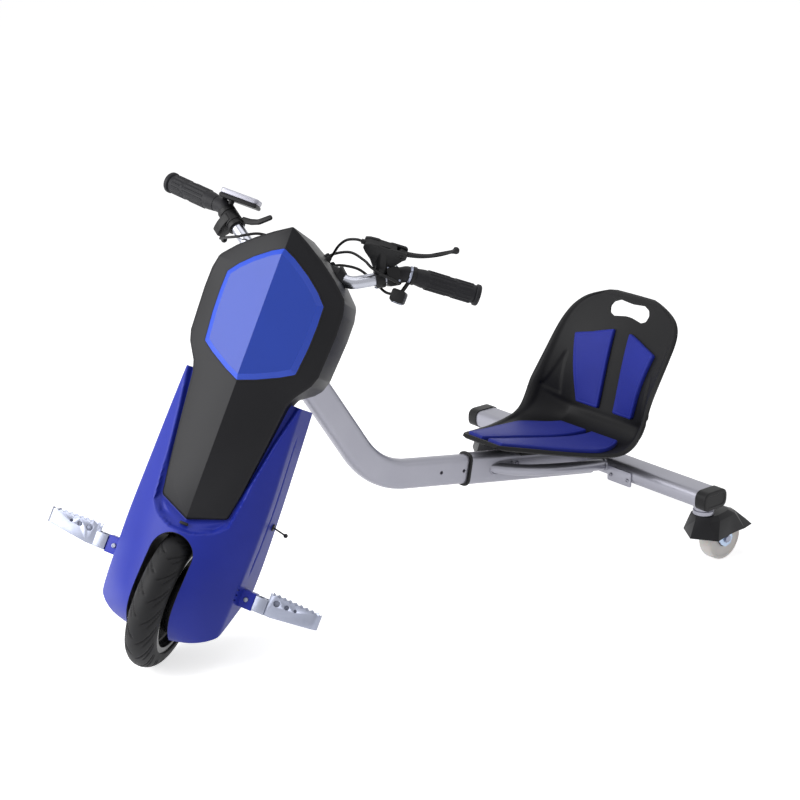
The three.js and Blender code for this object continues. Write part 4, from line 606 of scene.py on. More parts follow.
# Distance of a point inside a half outline that is mirrored about x = 0; negative outside
def insideDistance(half, x, y):
    x = abs(x)
    nearest = 1e9
    inside = False
    closed = half + [(-1e-6, half[-1][1]), (-1e-6, half[0][1])]
    for i, (ax, ay) in enumerate(closed):
        bx, by = closed[(i + 1) % len(closed)]
        if (ay > y) != (by > y) and x < (bx - ax) * (y - ay) / (by - ay) + ax:
            inside = not inside
        if i < len(half) - 1:
            dx, dy = bx - ax, by - ay
            t = max(0, min(1, ((x - ax) * dx + (y - ay) * dy) / (dx * dx + dy * dy)))
            nearest = min(nearest, math.hypot(x - ax - t * dx, y - ay - t * dy))
    return nearest if inside else -nearest


def frontAt(level, x):
    return level[2] - (level[2] - level[1]) * (x / level[0]) ** fairing["bow"]


def fairingPoint(across, up):
    level = levelAt(up)
    half, edge, front, back = level
    reach = abs(across)
    if reach <= fairing["corner"]:
        x = half * reach / fairing["corner"]
        ahead = frontAt(level, x)
    else:
        t = (reach - fairing["corner"]) / (1 - fairing["corner"])
        x = half + fairing["draft"] * t
        ahead = edge + (back - edge) * t
        # a long moulded groove runs up the side
        line = (ahead - (edge - 22)) / 3
        above, below = up - fairing["grooveLow"], fairing["grooveHigh"] - up
        if above > 0 and below > 0 and abs(line) < 1:
            ends = smoothShare(above / fairing["grooveEnds"]) * smoothShare(below / fairing["grooveEnds"])
            x -= fairing["grooveDepth"] * (1 - line * line) * ends
    return math.copysign(x, across), ahead


def makeFairing():
    mesh = gridMesh(fairing["columns"], fairing["rows"])
    low, high = fairing["levels"][0][0], fairing["levels"][-1][0]
    corners, lips, inner = [], [], set()
    for vert in mesh.verts:
        share = (vert.co.y + 1) / 2
        up = low + (high - low) * (0.35 * share + 0.65 * share ** 1.35)
        across = vert.co.x
        x, ahead = fairingPoint(across, up)
        if 0.6 < abs(across) < 0.72:
            corners.append(vert)
        depth = insideDistance(recessHalf, x, up)
        if depth > 0 and abs(across) <= fairing["corner"] + 0.02:
            ahead -= fairing["lipDepth"] * smoothShare(depth / fairing["lip"])
            # the recess floor stays under the cover and rises gently outside its edge
            outside = max(0, -1.5 - insideDistance(coverHalf, x, up))
            ahead = min(ahead, coverAhead(x, up) - fairing["coverGap"] + outside * 0.9)
            if depth > fairing["openBeyond"]:
                inner.add(vert)
        if abs(depth - fairing["lip"] / 2) < fairing["lip"]:
            lips.append(vert)
        vert.co = steered(x, up, ahead)
    holes = [face for face in mesh.faces if all(vert in inner for vert in face.verts)]
    for repeat in range(fairing["smoothings"]):
        bmesh.ops.smooth_vert(mesh, verts=corners, factor=0.5, use_axis_x=True, use_axis_y=True,
                              use_axis_z=False)
    bmesh.ops.smooth_vert(mesh, verts=[v for v in lips if v not in inner], factor=0.5,
                          use_axis_x=False, use_axis_y=True, use_axis_z=False)
    bmesh.ops.delete(mesh, geom=holes, context="FACES")
    hem = Vector((0, 1, -1 / fairing["hemSlope"])).normalized()
    bisect(mesh, steered(0, low, fairing["hemAhead"]), hem, clear=True)
    pointSheet(mesh, 1, -1)
    thicken(mesh, fairing["wall"])
    shell = finishPiece(mesh, "fairing_shell", "mouldedBlueAbs", node="front_housing", place=unplaced,
                        sharp=50, normals=False)
    slot = bmesh.new()
    half, top = fairing["slotHalf"], fairing["slotTop"] - fairing["slotHalf"]
    outline = [(x, top + y) for x, y in arcOutline(half, 0, math.pi, 24)] + [(-half, -120), (half, -120)]
    place = aimed(steered(0, 0, 160), (0, 1, 0), (1, 0, 0)) @ Matrix.Diagonal((1, -1, 1, 1))
    plate(slot, outline, 160, place)
    cutters = [slot]
    for side in (-1, 1):
        # pocket behind the peg bracket, with vents above it
        x, up, ahead = fairing["pocketAt"]
        blocks = [(fairing["pocket"], steered(side * x, up, ahead), 1.5)]
        x, up, ahead = fairing["ventAt"]
        size = fairing["vent"]
        blocks += [(size, steered(side * x, up + size[1] * i, ahead), 1) for i in range(fairing["vents"])]
        for size, centre, radius in blocks:
            cutter = bmesh.new()
            roundedBlock(cutter, size, centre, radius)
            cutters.append(cutter)
    carve(shell, cutters, frontPlace)


# Black cover with a ridge down its middle
cover = {"ridgeTop": 106.4, "ridgeBottom": 73.8, "low": 135.5, "high": 645.5, "slope": 0.36, "edge": 4.5,
         "edgeDrop": 2.6, "wall": 3, "sideBack": -48, "lowerBack": 18, "splitAt": 392,
         "corners": [6, 0, 0, 0, 22, 18, 0, 0, 16, 16, 14, 14, 0, 0, 9, 9], "cuts": (300, 400, 500, 560),
         "soft": 0.8, "blend": 28}


def coverAhead(x, up, lift=0):
    share = (up - cover["low"]) / (cover["high"] - cover["low"])
    ridge = cover["ridgeBottom"] + share * (cover["ridgeTop"] - cover["ridgeBottom"])
    return ridge - cover["slope"] * abs(x) + lift


# Lays the flat face on the cover's slopes, its rim lower than the rest, and starts its sides
def layFace(mesh, rimLift, faceLift):
    rim = openEdges(mesh)
    outer = {vert for edge in rim for vert in edge.verts}
    for vert in mesh.verts:
        lift = rimLift if vert in outer else faceLift
        vert.co = steered(vert.co.x, vert.co.z, coverAhead(vert.co.x, vert.co.z, lift))
    return rim, outer, extruded(mesh, rim)


def makeCover():
    mesh = bmesh.new()
    outline, sizes = mirrored(coverHalf, cover["corners"])
    borderedFace(mesh, outline, sizes, cover["edge"], 5)
    bisect(mesh, (0, 0, 0), (1, 0, 0))
    for up in cover["cuts"]:
        bisect(mesh, (0, 0, up), (0, 0, 1))
    rim, outer, sideVerts = layFace(mesh, -cover["edgeDrop"], 0)
    for vert in sideVerts:
        up = vert.co.z
        share = smoothShare((up - cover["splitAt"]) / cover["blend"] + 0.5)
        back = cover["lowerBack"] + (cover["sideBack"] - cover["lowerBack"]) * share
        vert.co = steered(vert.co.x * (1 - 0.01 * share), up, back)
    facesOut(mesh)
    bevelled(mesh, [e for e in rim if e.is_valid], cover["soft"], 2, clamp=True)
    ridge = [e for e in mesh.edges if len(e.link_faces) == 2 and abs(e.verts[0].co.x) < 0.01
             and abs(e.verts[1].co.x) < 0.01 and e.calc_face_angle(0) > 0.3]
    bevelled(mesh, ridge, cover["soft"], 3, clamp=True)
    pointSheet(mesh, 1, -1)
    thicken(mesh, cover["wall"])
    finishPiece(mesh, "cover_shell", "satinBlackAbs", node="front_cover", sharp=28, normals=False)


# Glossy six-sided panel: its sides bow a little and its border is a broad soft chamfer
panel = {"half": [(0, 607.5), (21, 597.5), (49, 579), (71, 560.5), (87.5, 542), (88.6, 507), (87.6, 470),
                  (82.8, 421), (61.5, 407.5), (28, 390.5), (0, 379)],
         "corners": [5, 0, 0, 0, 5, 0, 0, 5, 0, 0, 5], "chamfer": 9.5, "rise": 6.5, "foot": 1.2, "seal": 1.3}


def makePanel():
    mesh = bmesh.new()
    outline, sizes = mirrored(panel["half"], panel["corners"])
    points = borderedFace(mesh, outline, sizes, panel["chamfer"], 4)
    bisect(mesh, (0, 0, 0), (1, 0, 0))
    rim, outer, sideVerts = layFace(mesh, panel["foot"], panel["foot"] + panel["rise"])
    for vert in sideVerts:
        vert.co.y += panel["foot"] + 0.6
    # the sloping border carries the lighter blue, a painted highlight on the chamfer
    for face in mesh.faces:
        if any(vert in outer for vert in face.verts):
            face.material_index = 1
    closeOpening(mesh)
    facesOut(mesh)
    piece = finishPiece(mesh, "six_sided_panel", "polishedBlueAbs", node="hex_panel", sharp=25, normals=False)
    # second slot: the lighter blue that paints the chamfer's highlight
    piece.data.materials.append(materials["paintedHighlightBlueAbs"])
    # thin dark seal in the gap round the panel
    mesh = bmesh.new()
    seal = [steered(p.x, p.y, coverAhead(p.x, p.y, 0.5)) for p in points]
    sweep(mesh, circleOutline(panel["seal"], 8), seal + [seal[0]], (0, 1, 0), caps=False)
    finishPiece(mesh, "panel_seal", "gripRubber")


# Dark liner inside the wheel slot, an arch that follows the opening
def makeLiner():
    mesh = bmesh.new()
    half, top = fairing["slotHalf"] + 0.4, fairing["slotTop"] - fairing["slotHalf"]
    arch = [(half, -52 + 6 * i) for i in range(21)]
    arch += [(x, top + y) for x, y in arcOutline(half, 0, math.pi, 30)]
    arch += [(-half, 68 - 6 * i) for i in range(21)]
    chain = [mesh.verts.new(steered(x, up, frontAt(levelAt(max(up, -66)), abs(x)) - 1.2)) for x, up in arch]
    edges = [mesh.edges.new((chain[i], chain[i + 1])) for i in range(len(chain) - 1)]
    for vert in extruded(mesh, edges):
        low = max(24, fairing["hemAhead"] + (-68 - vert.co.z) / fairing["hemSlope"])
        vert.co.y = -min(-vert.co.y, low) if vert.co.z < 30 else -24
    facesOut(mesh)
    thicken(mesh, 1.6)
    finishPiece(mesh, "slot_liner", "tyreRubber")


makeTyre()
makeHub()
makeFairing()
makeCover()
makePanel()
makeLiner()
print("wheel and fairing shaped")


# Handlebar and grips
bar = {"radius": 11.1, "inner": (96, 599, -20), "outer": (172, 648, -49.5), "end": (290, 659, -95),
       "bend": 30, "gripRadius": 16.4, "flange": 18.6, "gripLength": 112, "gripColumns": 208, "gripRows": 120,
       "ribs": 16,
       "ribHeight": 1.5, "collar": 13.6}


def barPoint(name, side=1):
    across, up, ahead = bar[name]
    return steered(side * across, up, ahead)


gripWay = (barPoint("end") - barPoint("outer")).normalized()
riseWay = (barPoint("outer") - barPoint("inner")).normalized()


def mirrorWay(way, side):
    return Vector((way.x * side, way.y, way.z))


def gripPlace(side, inwards):
    return barPoint("end", side) - mirrorWay(gripWay, side) * inwards


def risePlace(side, inwards):
    return barPoint("outer", side) - mirrorWay(riseWay, side) * inwards


def makeBar():
    mesh = bmesh.new()
    corners = [barPoint(name, -1) for name in ("end", "outer", "inner")]
    corners += [barPoint(name) for name in ("inner", "outer", "end")]
    sweep(mesh, circleOutline(bar["radius"], 32), bentPath(corners, bar["bend"]), (0, 0, 1))
    finishPiece(mesh, "bent_handlebar", "chromePlate", node="handlebar")
    # smooth rubber collars round the bar's bend, between each grip and its controls
    for side, word, start, end in ((-1, "right", 112.3, 9.6), (1, "left", 123.8, 13.6)):
        mesh = bmesh.new()
        run = bentPath([gripPlace(side, start), barPoint("outer", side), risePlace(side, end)], bar["bend"])
        sweep(mesh, circleOutline(bar["collar"], 36), run, (0, 0, 1))
        finishPiece(mesh, word + "_bar_collar", "gripRubber")


# Along runs from the bar end inwards: a flange, a ribbed body and a smooth cone
def gripRadius(along, angle):
    length, body, flange = bar["gripLength"], bar["gripRadius"], bar["flange"]
    if along < 0:
        return flange - 1.4 * (along / -3) ** 2
    if along < 5:
        return flange - 1.2 * max(0, (along - 3.6) / 1.4) ** 2
    if along < 6.5:
        return body - 1.2
    if along > length - 15:
        return body - 0.3 - 1.9 * (along - length + 15) / 15
    ribAngle = angle * bar["ribs"]
    crest = max(0, math.cos(ribAngle)) ** 0.7
    # pointed arches: the ribs start later the further round the grip they lie
    arch = abs(math.sin(angle)) * 13
    rib = 0
    for start, end in ((9 + arch * 0.3, 46 - arch), (52 - arch, length - 18 - arch * 0.4)):
        if start < along < end:
            rib = max(rib, min(1, (along - start) / 2, (end - along) / 2))
    dash = 1 if 46 - arch < along < 52 - arch and math.cos(ribAngle / 2) > 0.3 else 0
    return body - 0.5 + bar["ribHeight"] * max(rib * crest, 0.5 * dash)


def makeGrip(side, word):
    mesh = gridMesh(bar["gripColumns"], bar["gripRows"])
    way = mirrorWay(gripWay, side)
    end = barPoint("end", side)
    place = aimed(end, -way, (0, 0, 1))
    for vert in mesh.verts:
        angle = vert.co.x * math.pi
        along = -3 + (bar["gripLength"] + 3) * (vert.co.y + 1) / 2
        radius = gripRadius(along, angle)
        vert.co = place @ Vector((radius * math.cos(angle), radius * math.sin(angle), along))
    bmesh.ops.remove_doubles(mesh, verts=mesh.verts, dist=0.01)
    rims = openEdges(mesh)
    outer = [e for e in rims if (e.verts[0].co - end).length < 60]
    bmesh.ops.contextual_create(mesh, geom=outer)
    middle = gripPlace(side, bar["gripLength"])
    for vert in extruded(mesh, [e for e in rims if e not in outer]):
        vert.co = middle + (vert.co - middle).normalized() * (bar["radius"] + 0.3)
    closeOpening(mesh)
    # moulded boss in the middle of the end face
    turnProfile(mesh, [(0, 2.9), (5.4, 2.9), (5, 3.6), (3.4, 3.9), (0, 3.9)], end, way, 28)
    finishPiece(mesh, word + "_rubber_grip", "gripRubber", node=word + "_grip", sharp=40)


def clampRing(mesh, side, inwards, length, radius=16, edge=1.6):
    bore = bar["radius"] + 0.5
    soft = edge * 0.3
    profile = [(bore, 0), (radius - edge, 0), (radius - soft, soft), (radius, edge), (radius, length - edge),
               (radius - soft, length - soft), (radius - edge, length), (bore, length)]
    turnProfile(mesh, profile, risePlace(side, inwards + length), mirrorWay(riseWay, side), 44, closed=True)


# Rider's right: throttle, thumb paddle and display
throttle = {"from": 21.5, "width": 22, "thick": 17, "ball": 5.6, "drop": 37,
            "lobe": [(17, 4), (17.5, -8), (15, -20), (11, -30), (7, -36), (-7, -36), (-11, -30), (-15, -20),
                     (-17.5, -8), (-17, 4)]}


def makeThrottle():
    mesh = bmesh.new()
    clampRing(mesh, -1, throttle["from"], throttle["width"])
    middle = risePlace(-1, throttle["from"] + throttle["width"] / 2)
    # lobe that hangs from the ring to the cable ball
    way = mirrorWay(riseWay, -1)
    place = aimed(middle - way * throttle["thick"] / 2, way, (0, 1, 0))
    down = place.to_3x3().inverted() @ Vector((0, 0, -1))
    aside = Vector((-down.y, down.x, 0)).normalized()
    down = Vector((down.x, down.y, 0)).normalized()
    points = [tuple(aside * x - down * y)[:2] for x, y in throttle["lobe"]]
    plate(mesh, roundedCorners(points, 4, 4), throttle["thick"], place, 1.6, 3)
    bmesh.ops.create_uvsphere(mesh, u_segments=28, v_segments=18, radius=throttle["ball"],
                              matrix=Matrix.Translation(middle - Vector((0, 0, throttle["drop"]))))
    screw(mesh, middle + way * 8.6 + Vector((0, 0, -19)), way, 2.6, 1.4)
    finishPiece(mesh, "throttle_housing", "controlNylon", node="throttle_body")


display = {"from": 10, "ring": 11, "width": 70, "depth": 36, "height": 16, "centre": (-143, 669, -36),
           "bezel": 9, "border": 4.5}


def makeDisplay():
    mesh = bmesh.new()
    clampRing(mesh, -1, display["from"], display["ring"])
    wide, deep, bezel = display["width"], display["depth"], display["bezel"]
    centre = steered(*display["centre"])
    roundedBlock(mesh, (wide, deep, display["height"] - bezel), centre - Vector((0, 0, bezel / 2)), 3, 5)
    foot = risePlace(-1, display["from"] + display["ring"] / 2)
    above = Vector((foot.x, foot.y, centre.z))
    neck = [foot, foot + (above - foot) * 0.5, above - Vector((0, 0, 4))]
    sweep(mesh, circleOutline(5.4, 24), neck, scales=[1.1, 0.9, 1.1])
    finishPiece(mesh, "display_case", "controlNylon", node="display_box")
    mesh = bmesh.new()
    top = centre + Vector((0, 0, display["height"] / 2 - bezel))
    plate(mesh, boxOutline(wide - 0.6, deep - 0.6, 7, 6), bezel, Matrix.Translation(top), 1.8, 3)
    face = [f for f in mesh.faces if f.normal.z > 0.99 and f.calc_area() > 800]
    sinkFaces(mesh, face, [display["border"]], (0, 0, -0.8))
    finishPiece(mesh, "display_bezel", "silverPowderCoat")
    mesh = bmesh.new()
    place = Matrix.Translation(top + Vector((0, 0, 7.9)))
    plate(mesh, boxOutline(wide - 12, deep - 12, 3, 4), 0.7, place, 0.2, 2)
    finishPiece(mesh, "display_window", "hubPaint")


paddle = {"from": 44, "width": 9, "thick": 6, "reach": 60, "shift": 30, "lean": 0.55,
          "shares": [(-0.15, 0.2), (0.15, 0.2), (0.57, 0.37), (0.9, 0.57), (1.17, 0.98), (0.9, 1.03),
                     (0.6, 0.63), (0.27, 0.47), (-0.15, 0.33)],
          "corners": [0, 3, 12, 16, 7, 5, 14, 10, 0]}


def makePaddle():
    mesh = bmesh.new()
    clampRing(mesh, -1, paddle["from"], paddle["width"], 16, 1.2)
    inwards = -mirrorWay(riseWay, -1)
    out = steered(paddle["lean"], 1, 0)
    out = (out - inwards * out.dot(inwards)).normalized()
    points = [(along * paddle["shift"], reach * paddle["reach"]) for along, reach in paddle["shares"]]
    # cross of inwards and out keeps the blade's outline the right way round
    place = aimed(risePlace(-1, paddle["from"] + paddle["width"] / 2), inwards.cross(out), inwards)
    place = place @ Matrix.Translation((0, 0, -paddle["thick"] / 2))
    plate(mesh, roundedCorners(points, paddle["corners"], 6), paddle["thick"], place, 2, 4)
    finishPiece(mesh, "thumb_paddle_blade", "controlNylon", "thumb_paddle", "throttle_paddle")


# Rider's left: brake bracket and lever
brake = {"pivot": (160, 675, -10), "length": 66, "half": 10, "cheek": 5.4, "leverLength": 80, "curve": 42,
         "ball": 6, "leverThick": 8, "root": 8.2, "clampFrom": 39, "clampWidth": 16, "neck": 11,
         "neckShares": [1, 0.95, 0.8],
         "cheekOutline": [(-66, -5), (-60, -13), (-48, -25), (-36, -44), (-5, -44), (-3, -24), (5, -9),
                          (9, -5), (9, 5), (5, 9), (-20, 9), (-24, 7), (-40, 7.5), (-44, 9), (-58, 8),
                          (-66, 5)],
         "cheekCorners": [2, 6, 8, 5, 5, 8, 4, 4, 4, 4, 3, 3, 3, 3, 4, 2],
         "coreOutline": [(-65, -4), (-58, -12), (-47, -24), (-35, -43), (-11, -43), (-10, 8.4), (-58, 7),
                         (-65, 4)]}
leverPivot = steered(*brake["pivot"])
leverOut = steered(0, 34, 42)
leverOut = (leverOut - gripWay * leverOut.dot(gripWay)).normalized()
leverAcross = gripWay.cross(leverOut)


def leverPlace(shift):
    place = Matrix((gripWay, leverOut, leverAcross)).transposed().to_4x4()
    place.translation = leverPivot + leverAcross * shift
    return place


def makeBrake():
    mesh = bmesh.new()
    clampRing(mesh, 1, brake["clampFrom"], brake["clampWidth"])
    # wedge body, thick at the pivot, with a notch where the adjuster starts
    points = roundedCorners(brake["cheekOutline"], brake["cheekCorners"], 3)
    for shift in (-brake["half"], brake["half"] - brake["cheek"]):
        plate(mesh, points, brake["cheek"], leverPlace(shift), 1.3, 3)
    plate(mesh, roundedCorners(brake["coreOutline"], 3, 3), 10, leverPlace(-5), 0, 2)
    neckTop = leverPivot - gripWay * brake["length"] / 2
    foot = risePlace(1, brake["clampFrom"] + brake["clampWidth"] / 2)
    neck = [foot, foot.lerp(neckTop, 0.5), neckTop]
    sweep(mesh, circleOutline(brake["neck"], 32), neck, scales=brake["neckShares"])
    # barrel adjuster and its locknut at the inner end
    start = leverPivot - gripWay * brake["length"]
    turnProfile(mesh, [(0, -5), (4.4, -5), (4.4, 2), (0, 2)], start, gripWay, 24)
    for shift in (-1, 1):
        screw(mesh, leverPivot + leverAcross * shift * brake["half"], leverAcross * shift, 4.2, 1.6)
    finishPiece(mesh, "brake_perch", "controlNylon", node="brake_bracket")


def makeLever():
    length, rise, thick = brake["leverLength"], brake["curve"], brake["leverThick"]
    upper, lower = [], []
    for i in range(2, 18):
        t = i / 18
        middle = rise * (0.15 * t + 0.85 * t ** 2.4)
        half = (8.2 - 3.6 * min(1, t * 1.6) + 0.6 * t) / 2
        upper.append((length * t, middle + half))
        lower.append((length * t, middle - half))
    ball = arcOutline(brake["ball"], math.radians(-100), math.radians(140), 12)
    root = arcOutline(brake["root"], math.radians(110), math.radians(250), 7)
    points = lower + [(length + 1 + x, rise + y) for x, y in ball] + upper[::-1] + root
    mesh = bmesh.new()
    plate(mesh, points, thick, leverPlace(-thick / 2), 2.2, 4)
    finishPiece(mesh, "brake_blade", "controlNylon", "brake_hand_lever", "brake_lever")


# Switch block, horn and the small screws and bands of the left side
def makeSwitches():
    softened("switch_block", "controlNylon", width=1.6, segments=3, sharp=40)
    softened("horn_button", "zincPlate", "horn_push", 0.8, 3)
    softened("horn_box", "controlNylon", width=1.2, segments=3, sharp=40)
    mesh = bmesh.new()
    block = risePlace(1, 25)
    ahead = steered(0, 0, 1)
    face = (ahead - riseWay * ahead.dot(riseWay)).normalized()
    rise = riseWay.cross(face)
    rise = rise if rise.z > 0 else -rise
    for across, up in ((-7.5, 12.2), (7.5, 12.2), (7.5, -12.2)):
        screw(mesh, block + face * 19 + riseWay * across + rise * up, face, 2, 0.9)
    # cap-head screw of the lever clamp
    screw(mesh, risePlace(1, 47) + Vector((0, 0, -15.5)), (0, 0, -1), 3, 2.4)
    # clamp band beside the grip
    bore = bar["radius"] + 0.3
    band = [(bore, 0), (14.6, 0), (15.2, 0.8), (15.2, 4), (14.6, 4.8), (bore, 4.8)]
    turnProfile(mesh, band, gripPlace(1, 123.6), gripWay, 40, closed=True)
    # rim of the horn
    rim = [(9.6, 0), (10.6, 0), (10.6, 1.1), (9.6, 1.1)]
    turnProfile(mesh, rim, steered(174, 595.1, -44), (0, 0, 1), 40, closed=True)
    finishPiece(mesh, "control_screws", "zincPlate")


boots = {"profile": [(11.5, -16), (15, -16), (18, -12), (18, 0), (21, 1), (21, 4.5), (19, 6.6), (15, 11),
                     (13, 14), (11.5, 14)],
         "gland": [(2.6, -3), (6.4, -3), (6.4, 1.2), (5.4, 2), (4.6, 6), (3.2, 9), (2.6, 9)],
         "glandPlaces": ((40, 621, -28, 0.4), (34, 625, -36, 0.5), (46, 614.5, -40, 0.6),
                         (-44, 617.5, -30, -0.6))}


def makeBoots():
    for side, word in sides:
        mesh = bmesh.new()
        turnProfile(mesh, boots["profile"], steered(side * 68, 599, -20), (side, 0, 0), 44, closed=True)
        finishPiece(mesh, word + "_bar_boot", "gripRubber", node="bar_grommet" if side > 0 else None)
    # cable glands: a rubber cone where each cable leaves the roof
    mesh = bmesh.new()
    for x, up, ahead, lean in boots["glandPlaces"]:
        turnProfile(mesh, boots["gland"], steered(x, up, ahead), steered(lean, 1, 0.1), 28, closed=True)
    finishPiece(mesh, "cable_glands", "gripRubber")


cables = {"radius": 2.4, "lead": 14, "routes": {
    "brake_cable": [(40, 618, -28), (46, 634, -26), (54, 650, -10), (68, 662, 10), "brakeLead", "brakeEntry"],
    "switch_cable": [(34, 622, -36), (44, 636, -38), (72, 648, -30), (104, 642, -12), (126, 633, -4),
                     "switchLead", "switchEntry"],
    "horn_cable": [(46, 611, -40), (58, 622, -46), (88, 628, -60), (118, 619, -60), (147.7, 607, -44),
                   (161.7, 607, -44)],
    "throttle_cable": [(-44, 614, -30), (-58, 624, -24), (-84, 622, -8), (-118, 604, -6), "throttleLead",
                       "throttleEntry"]}}


def cableEnds():
    up = (Vector((0, 0, 1)) - riseWay * riseWay.z).normalized()
    front = riseWay.cross(up)
    entries = {"brake": (leverPivot - gripWay * (brake["length"] + 0.3), -gripWay),
               "switch": (risePlace(1, 25) - up * 10 + front * 19.3, front),
               "throttle": (risePlace(-1, 32.5) + steered(0, -37.5, 5.8), steered(0, 0, 1))}
    ends = {}
    for name, (entry, way) in entries.items():
        ends[name + "Entry"] = entry
        ends[name + "Lead"] = entry + way * cables["lead"]
    return ends


def makeCables():
    ends = cableEnds()
    for name, route in cables["routes"].items():
        path = smoothPath([ends[p] if isinstance(p, str) else steered(*p) for p in route])
        mesh = bmesh.new()
        sweep(mesh, circleOutline(cables["radius"], 16), path)
        line = finishPiece(mesh, name + "_run", "cableJacket", node=name)


# Foot pegs with their brackets, hinges and bolts
def makePegs():
    for side, word in sides:
        softened(word + "_peg_bracket", "bluePowderCoat", width=1.6, segments=3)
        softened(word + "_peg_hinge", "zincPlate", width=0.7)
        softened(word + "_foot_peg", "zincPlate", word + "_peg", 0.35)
        mesh = bmesh.new()
        screw(mesh, steered(side * 124, 41, -10), (0, -1, 0), 4.4, 2.6)
        screw(mesh, steered(side * 124, 41, -32), (0, 1, 0), 4.4, 2.6)
        finishPiece(mesh, word + "_peg_bolts", "zincPlate")


# Node, material and width of the softened edges of the hidden and small parts
smallParts = (("front_fork", "blackPowderCoat", 0.8), ("stem_clamp", "blackPowderCoat", 1.4),
              ("battery_pack", "packSleeve", 3), ("motor_controller", "extrudedAluminium", 0.5),
              ("rear_cover", "satinBlackAbs", 0.8), ("wheel_axle", "zincPlate", 0.6),
              ("charging_plug", "gripRubber", 0.4))


def makeSmallParts():
    for node, material, width in smallParts:
        softened(node, material, width=width)
    # small tab under the cover's tip
    mesh = bmesh.new()
    roundedBlock(mesh, (15, 4, 5), steered(0, 128.5, 76), 1.2)
    finishPiece(mesh, "cover_tab", "controlNylon")


makeBar()
for side, word in sides:
    makeGrip(side, word)
makeThrottle()
makeDisplay()
makePaddle()
makeBrake()
makeLever()
makeSwitches()
makeBoots()
makeCables()
makePegs()
makeSmallParts()
print("bar, controls and pegs shaped")


# A straight run of open pipe with walls of one thickness and softened rims
def hollowRun(outline, path, wall, rim=0.0):
    mesh = bmesh.new()
    sweep(mesh, outline, path, caps=False)
    facesOut(mesh)
    corners = {vert for edge in openEdges(mesh) for vert in edge.verts}
    thicken(mesh, wall)
    if rim:
        edges = [e for e in mesh.edges if e.verts[0] in corners and e.verts[1] in corners
                 and e.calc_face_angle(0) > 1.0]
        bevelled(mesh, edges, rim, 3, clamp=True)
    return mesh


# Main tube: down from the head tube, round a bend and back to the sliding rear frame
spine = {"rake": 28.05, "slope": 9.87, "axle": 123.1614, "joint": 482, "corner": (0, 446.4, 227.8),
         "width": 28, "height": 56, "round": 13, "bend": 180, "end": 418, "holeFirst": 152.5, "pitch": 57,
         "holes": 5, "holeRadius": 3.6, "sleeveFrom": 224.3, "sleeveTo": 566, "sleeveWidth": 32.6,
         "sleeveHeight": 60.6, "sleeveWall": 1.8, "sleeveRound": 15.3, "collarFrom": 219.5,
         "collarLength": 6, "collarOver": 2.5, "collarRound": 17.5, "collarWall": 4.2, "collarRim": 1.6}
slope = math.radians(spine["slope"])
tubeWay = Vector((0, math.cos(slope), -math.sin(slope)))
tubeUp = Vector((0, math.sin(slope), math.cos(slope)))


def alongTube(distance, across=0, up=0):
    return Vector(spine["corner"]) + tubeWay * distance + Vector((across, 0, 0)) + tubeUp * up


# Middle one of the adjustment holes, where the knob sits
knobHole = alongTube(spine["holeFirst"] + 2 * spine["pitch"])


def weldBead(mesh, centre, axis, radius, thick=1.7, steps=44):
    axis = Vector(axis).normalized()
    side = axis.orthogonal().normalized()
    other = axis.cross(side)
    path = [Vector(centre) + side * x + other * y for x, y in arcOutline(radius, 0, fullTurn, steps)]
    scales = [1 + 0.16 * math.sin(i * 2.6) + 0.08 * math.sin(i * 1.1) for i in range(steps + 1)]
    sweep(mesh, circleOutline(thick, 8), path, axis, scales)


def makeSpine():
    rake = math.radians(spine["rake"])
    head = Vector((0, 0, spine["axle"])) + Vector((0, math.sin(rake), math.cos(rake))) * spine["joint"]
    corner = Vector(spine["corner"])
    start = head + (corner - head).normalized() * 14
    mesh = bmesh.new()
    outline = boxOutline(spine["width"], spine["height"], spine["round"], 7)
    sweep(mesh, outline, bentPath([start, corner, alongTube(spine["end"])], spine["bend"], 22))
    tube = finishPiece(mesh, "bent_tube", "silverPowderCoat", "main_frame", "main_tube", place=unplaced)
    cutters = []
    for i in range(spine["holes"]):
        cutter = bmesh.new()
        turnProfile(cutter, [(0, -30), (spine["holeRadius"], -30), (spine["holeRadius"], 30), (0, 30)],
                    alongTube(spine["holeFirst"] + i * spine["pitch"]), (1, 0, 0), 24)
        cutters.append(cutter)
    carve(tube, cutters, rearPlace)
    softened("head_tube", "silverPowderCoat", "main_frame", 0.5)
    for name in ("upper_bearing", "lower_bearing"):
        softened(name, "zincPlate", "main_frame")


def makeSleeve():
    width, height = spine["sleeveWidth"], spine["sleeveHeight"]
    mesh = hollowRun(boxOutline(width, height, spine["sleeveRound"], 7),
                     [alongTube(spine["sleeveFrom"]), alongTube(spine["sleeveTo"])], spine["sleeveWall"])
    turnProfile(mesh, [(4, 15.5), (10, 15.5), (10, 24.5), (9.2, 25.3), (4, 25.3)], knobHole, (-1, 0, 0), 32,
                closed=True)
    weldBead(mesh, knobHole + Vector((-16.4, 0, 0)), (1, 0, 0), 10.3, 1.3)
    # screws that hold the seat bracket
    for distance in (330, 345):
        screw(mesh, alongTube(distance, 16.1, 8), (1, 0, 0), 4.5, 3)
    finishPiece(mesh, "sliding_sleeve", "silverPowderCoat", "rear_frame", "sleeve_tube")
    start, over = spine["collarFrom"], 2 * spine["collarOver"]
    mesh = hollowRun(boxOutline(width + over, height + over, spine["collarRound"], 7),
                     [alongTube(start), alongTube(start + spine["collarLength"])], spine["collarWall"],
                     spine["collarRim"])
    finishPiece(mesh, "sleeve_collar", "controlNylon", "rear_frame", "tube_collar")


knob = {"radius": 16, "lobes": 8, "depth": 2.4, "length": 15, "start": 25.6, "pin": 3.2, "pinLength": 11.2}


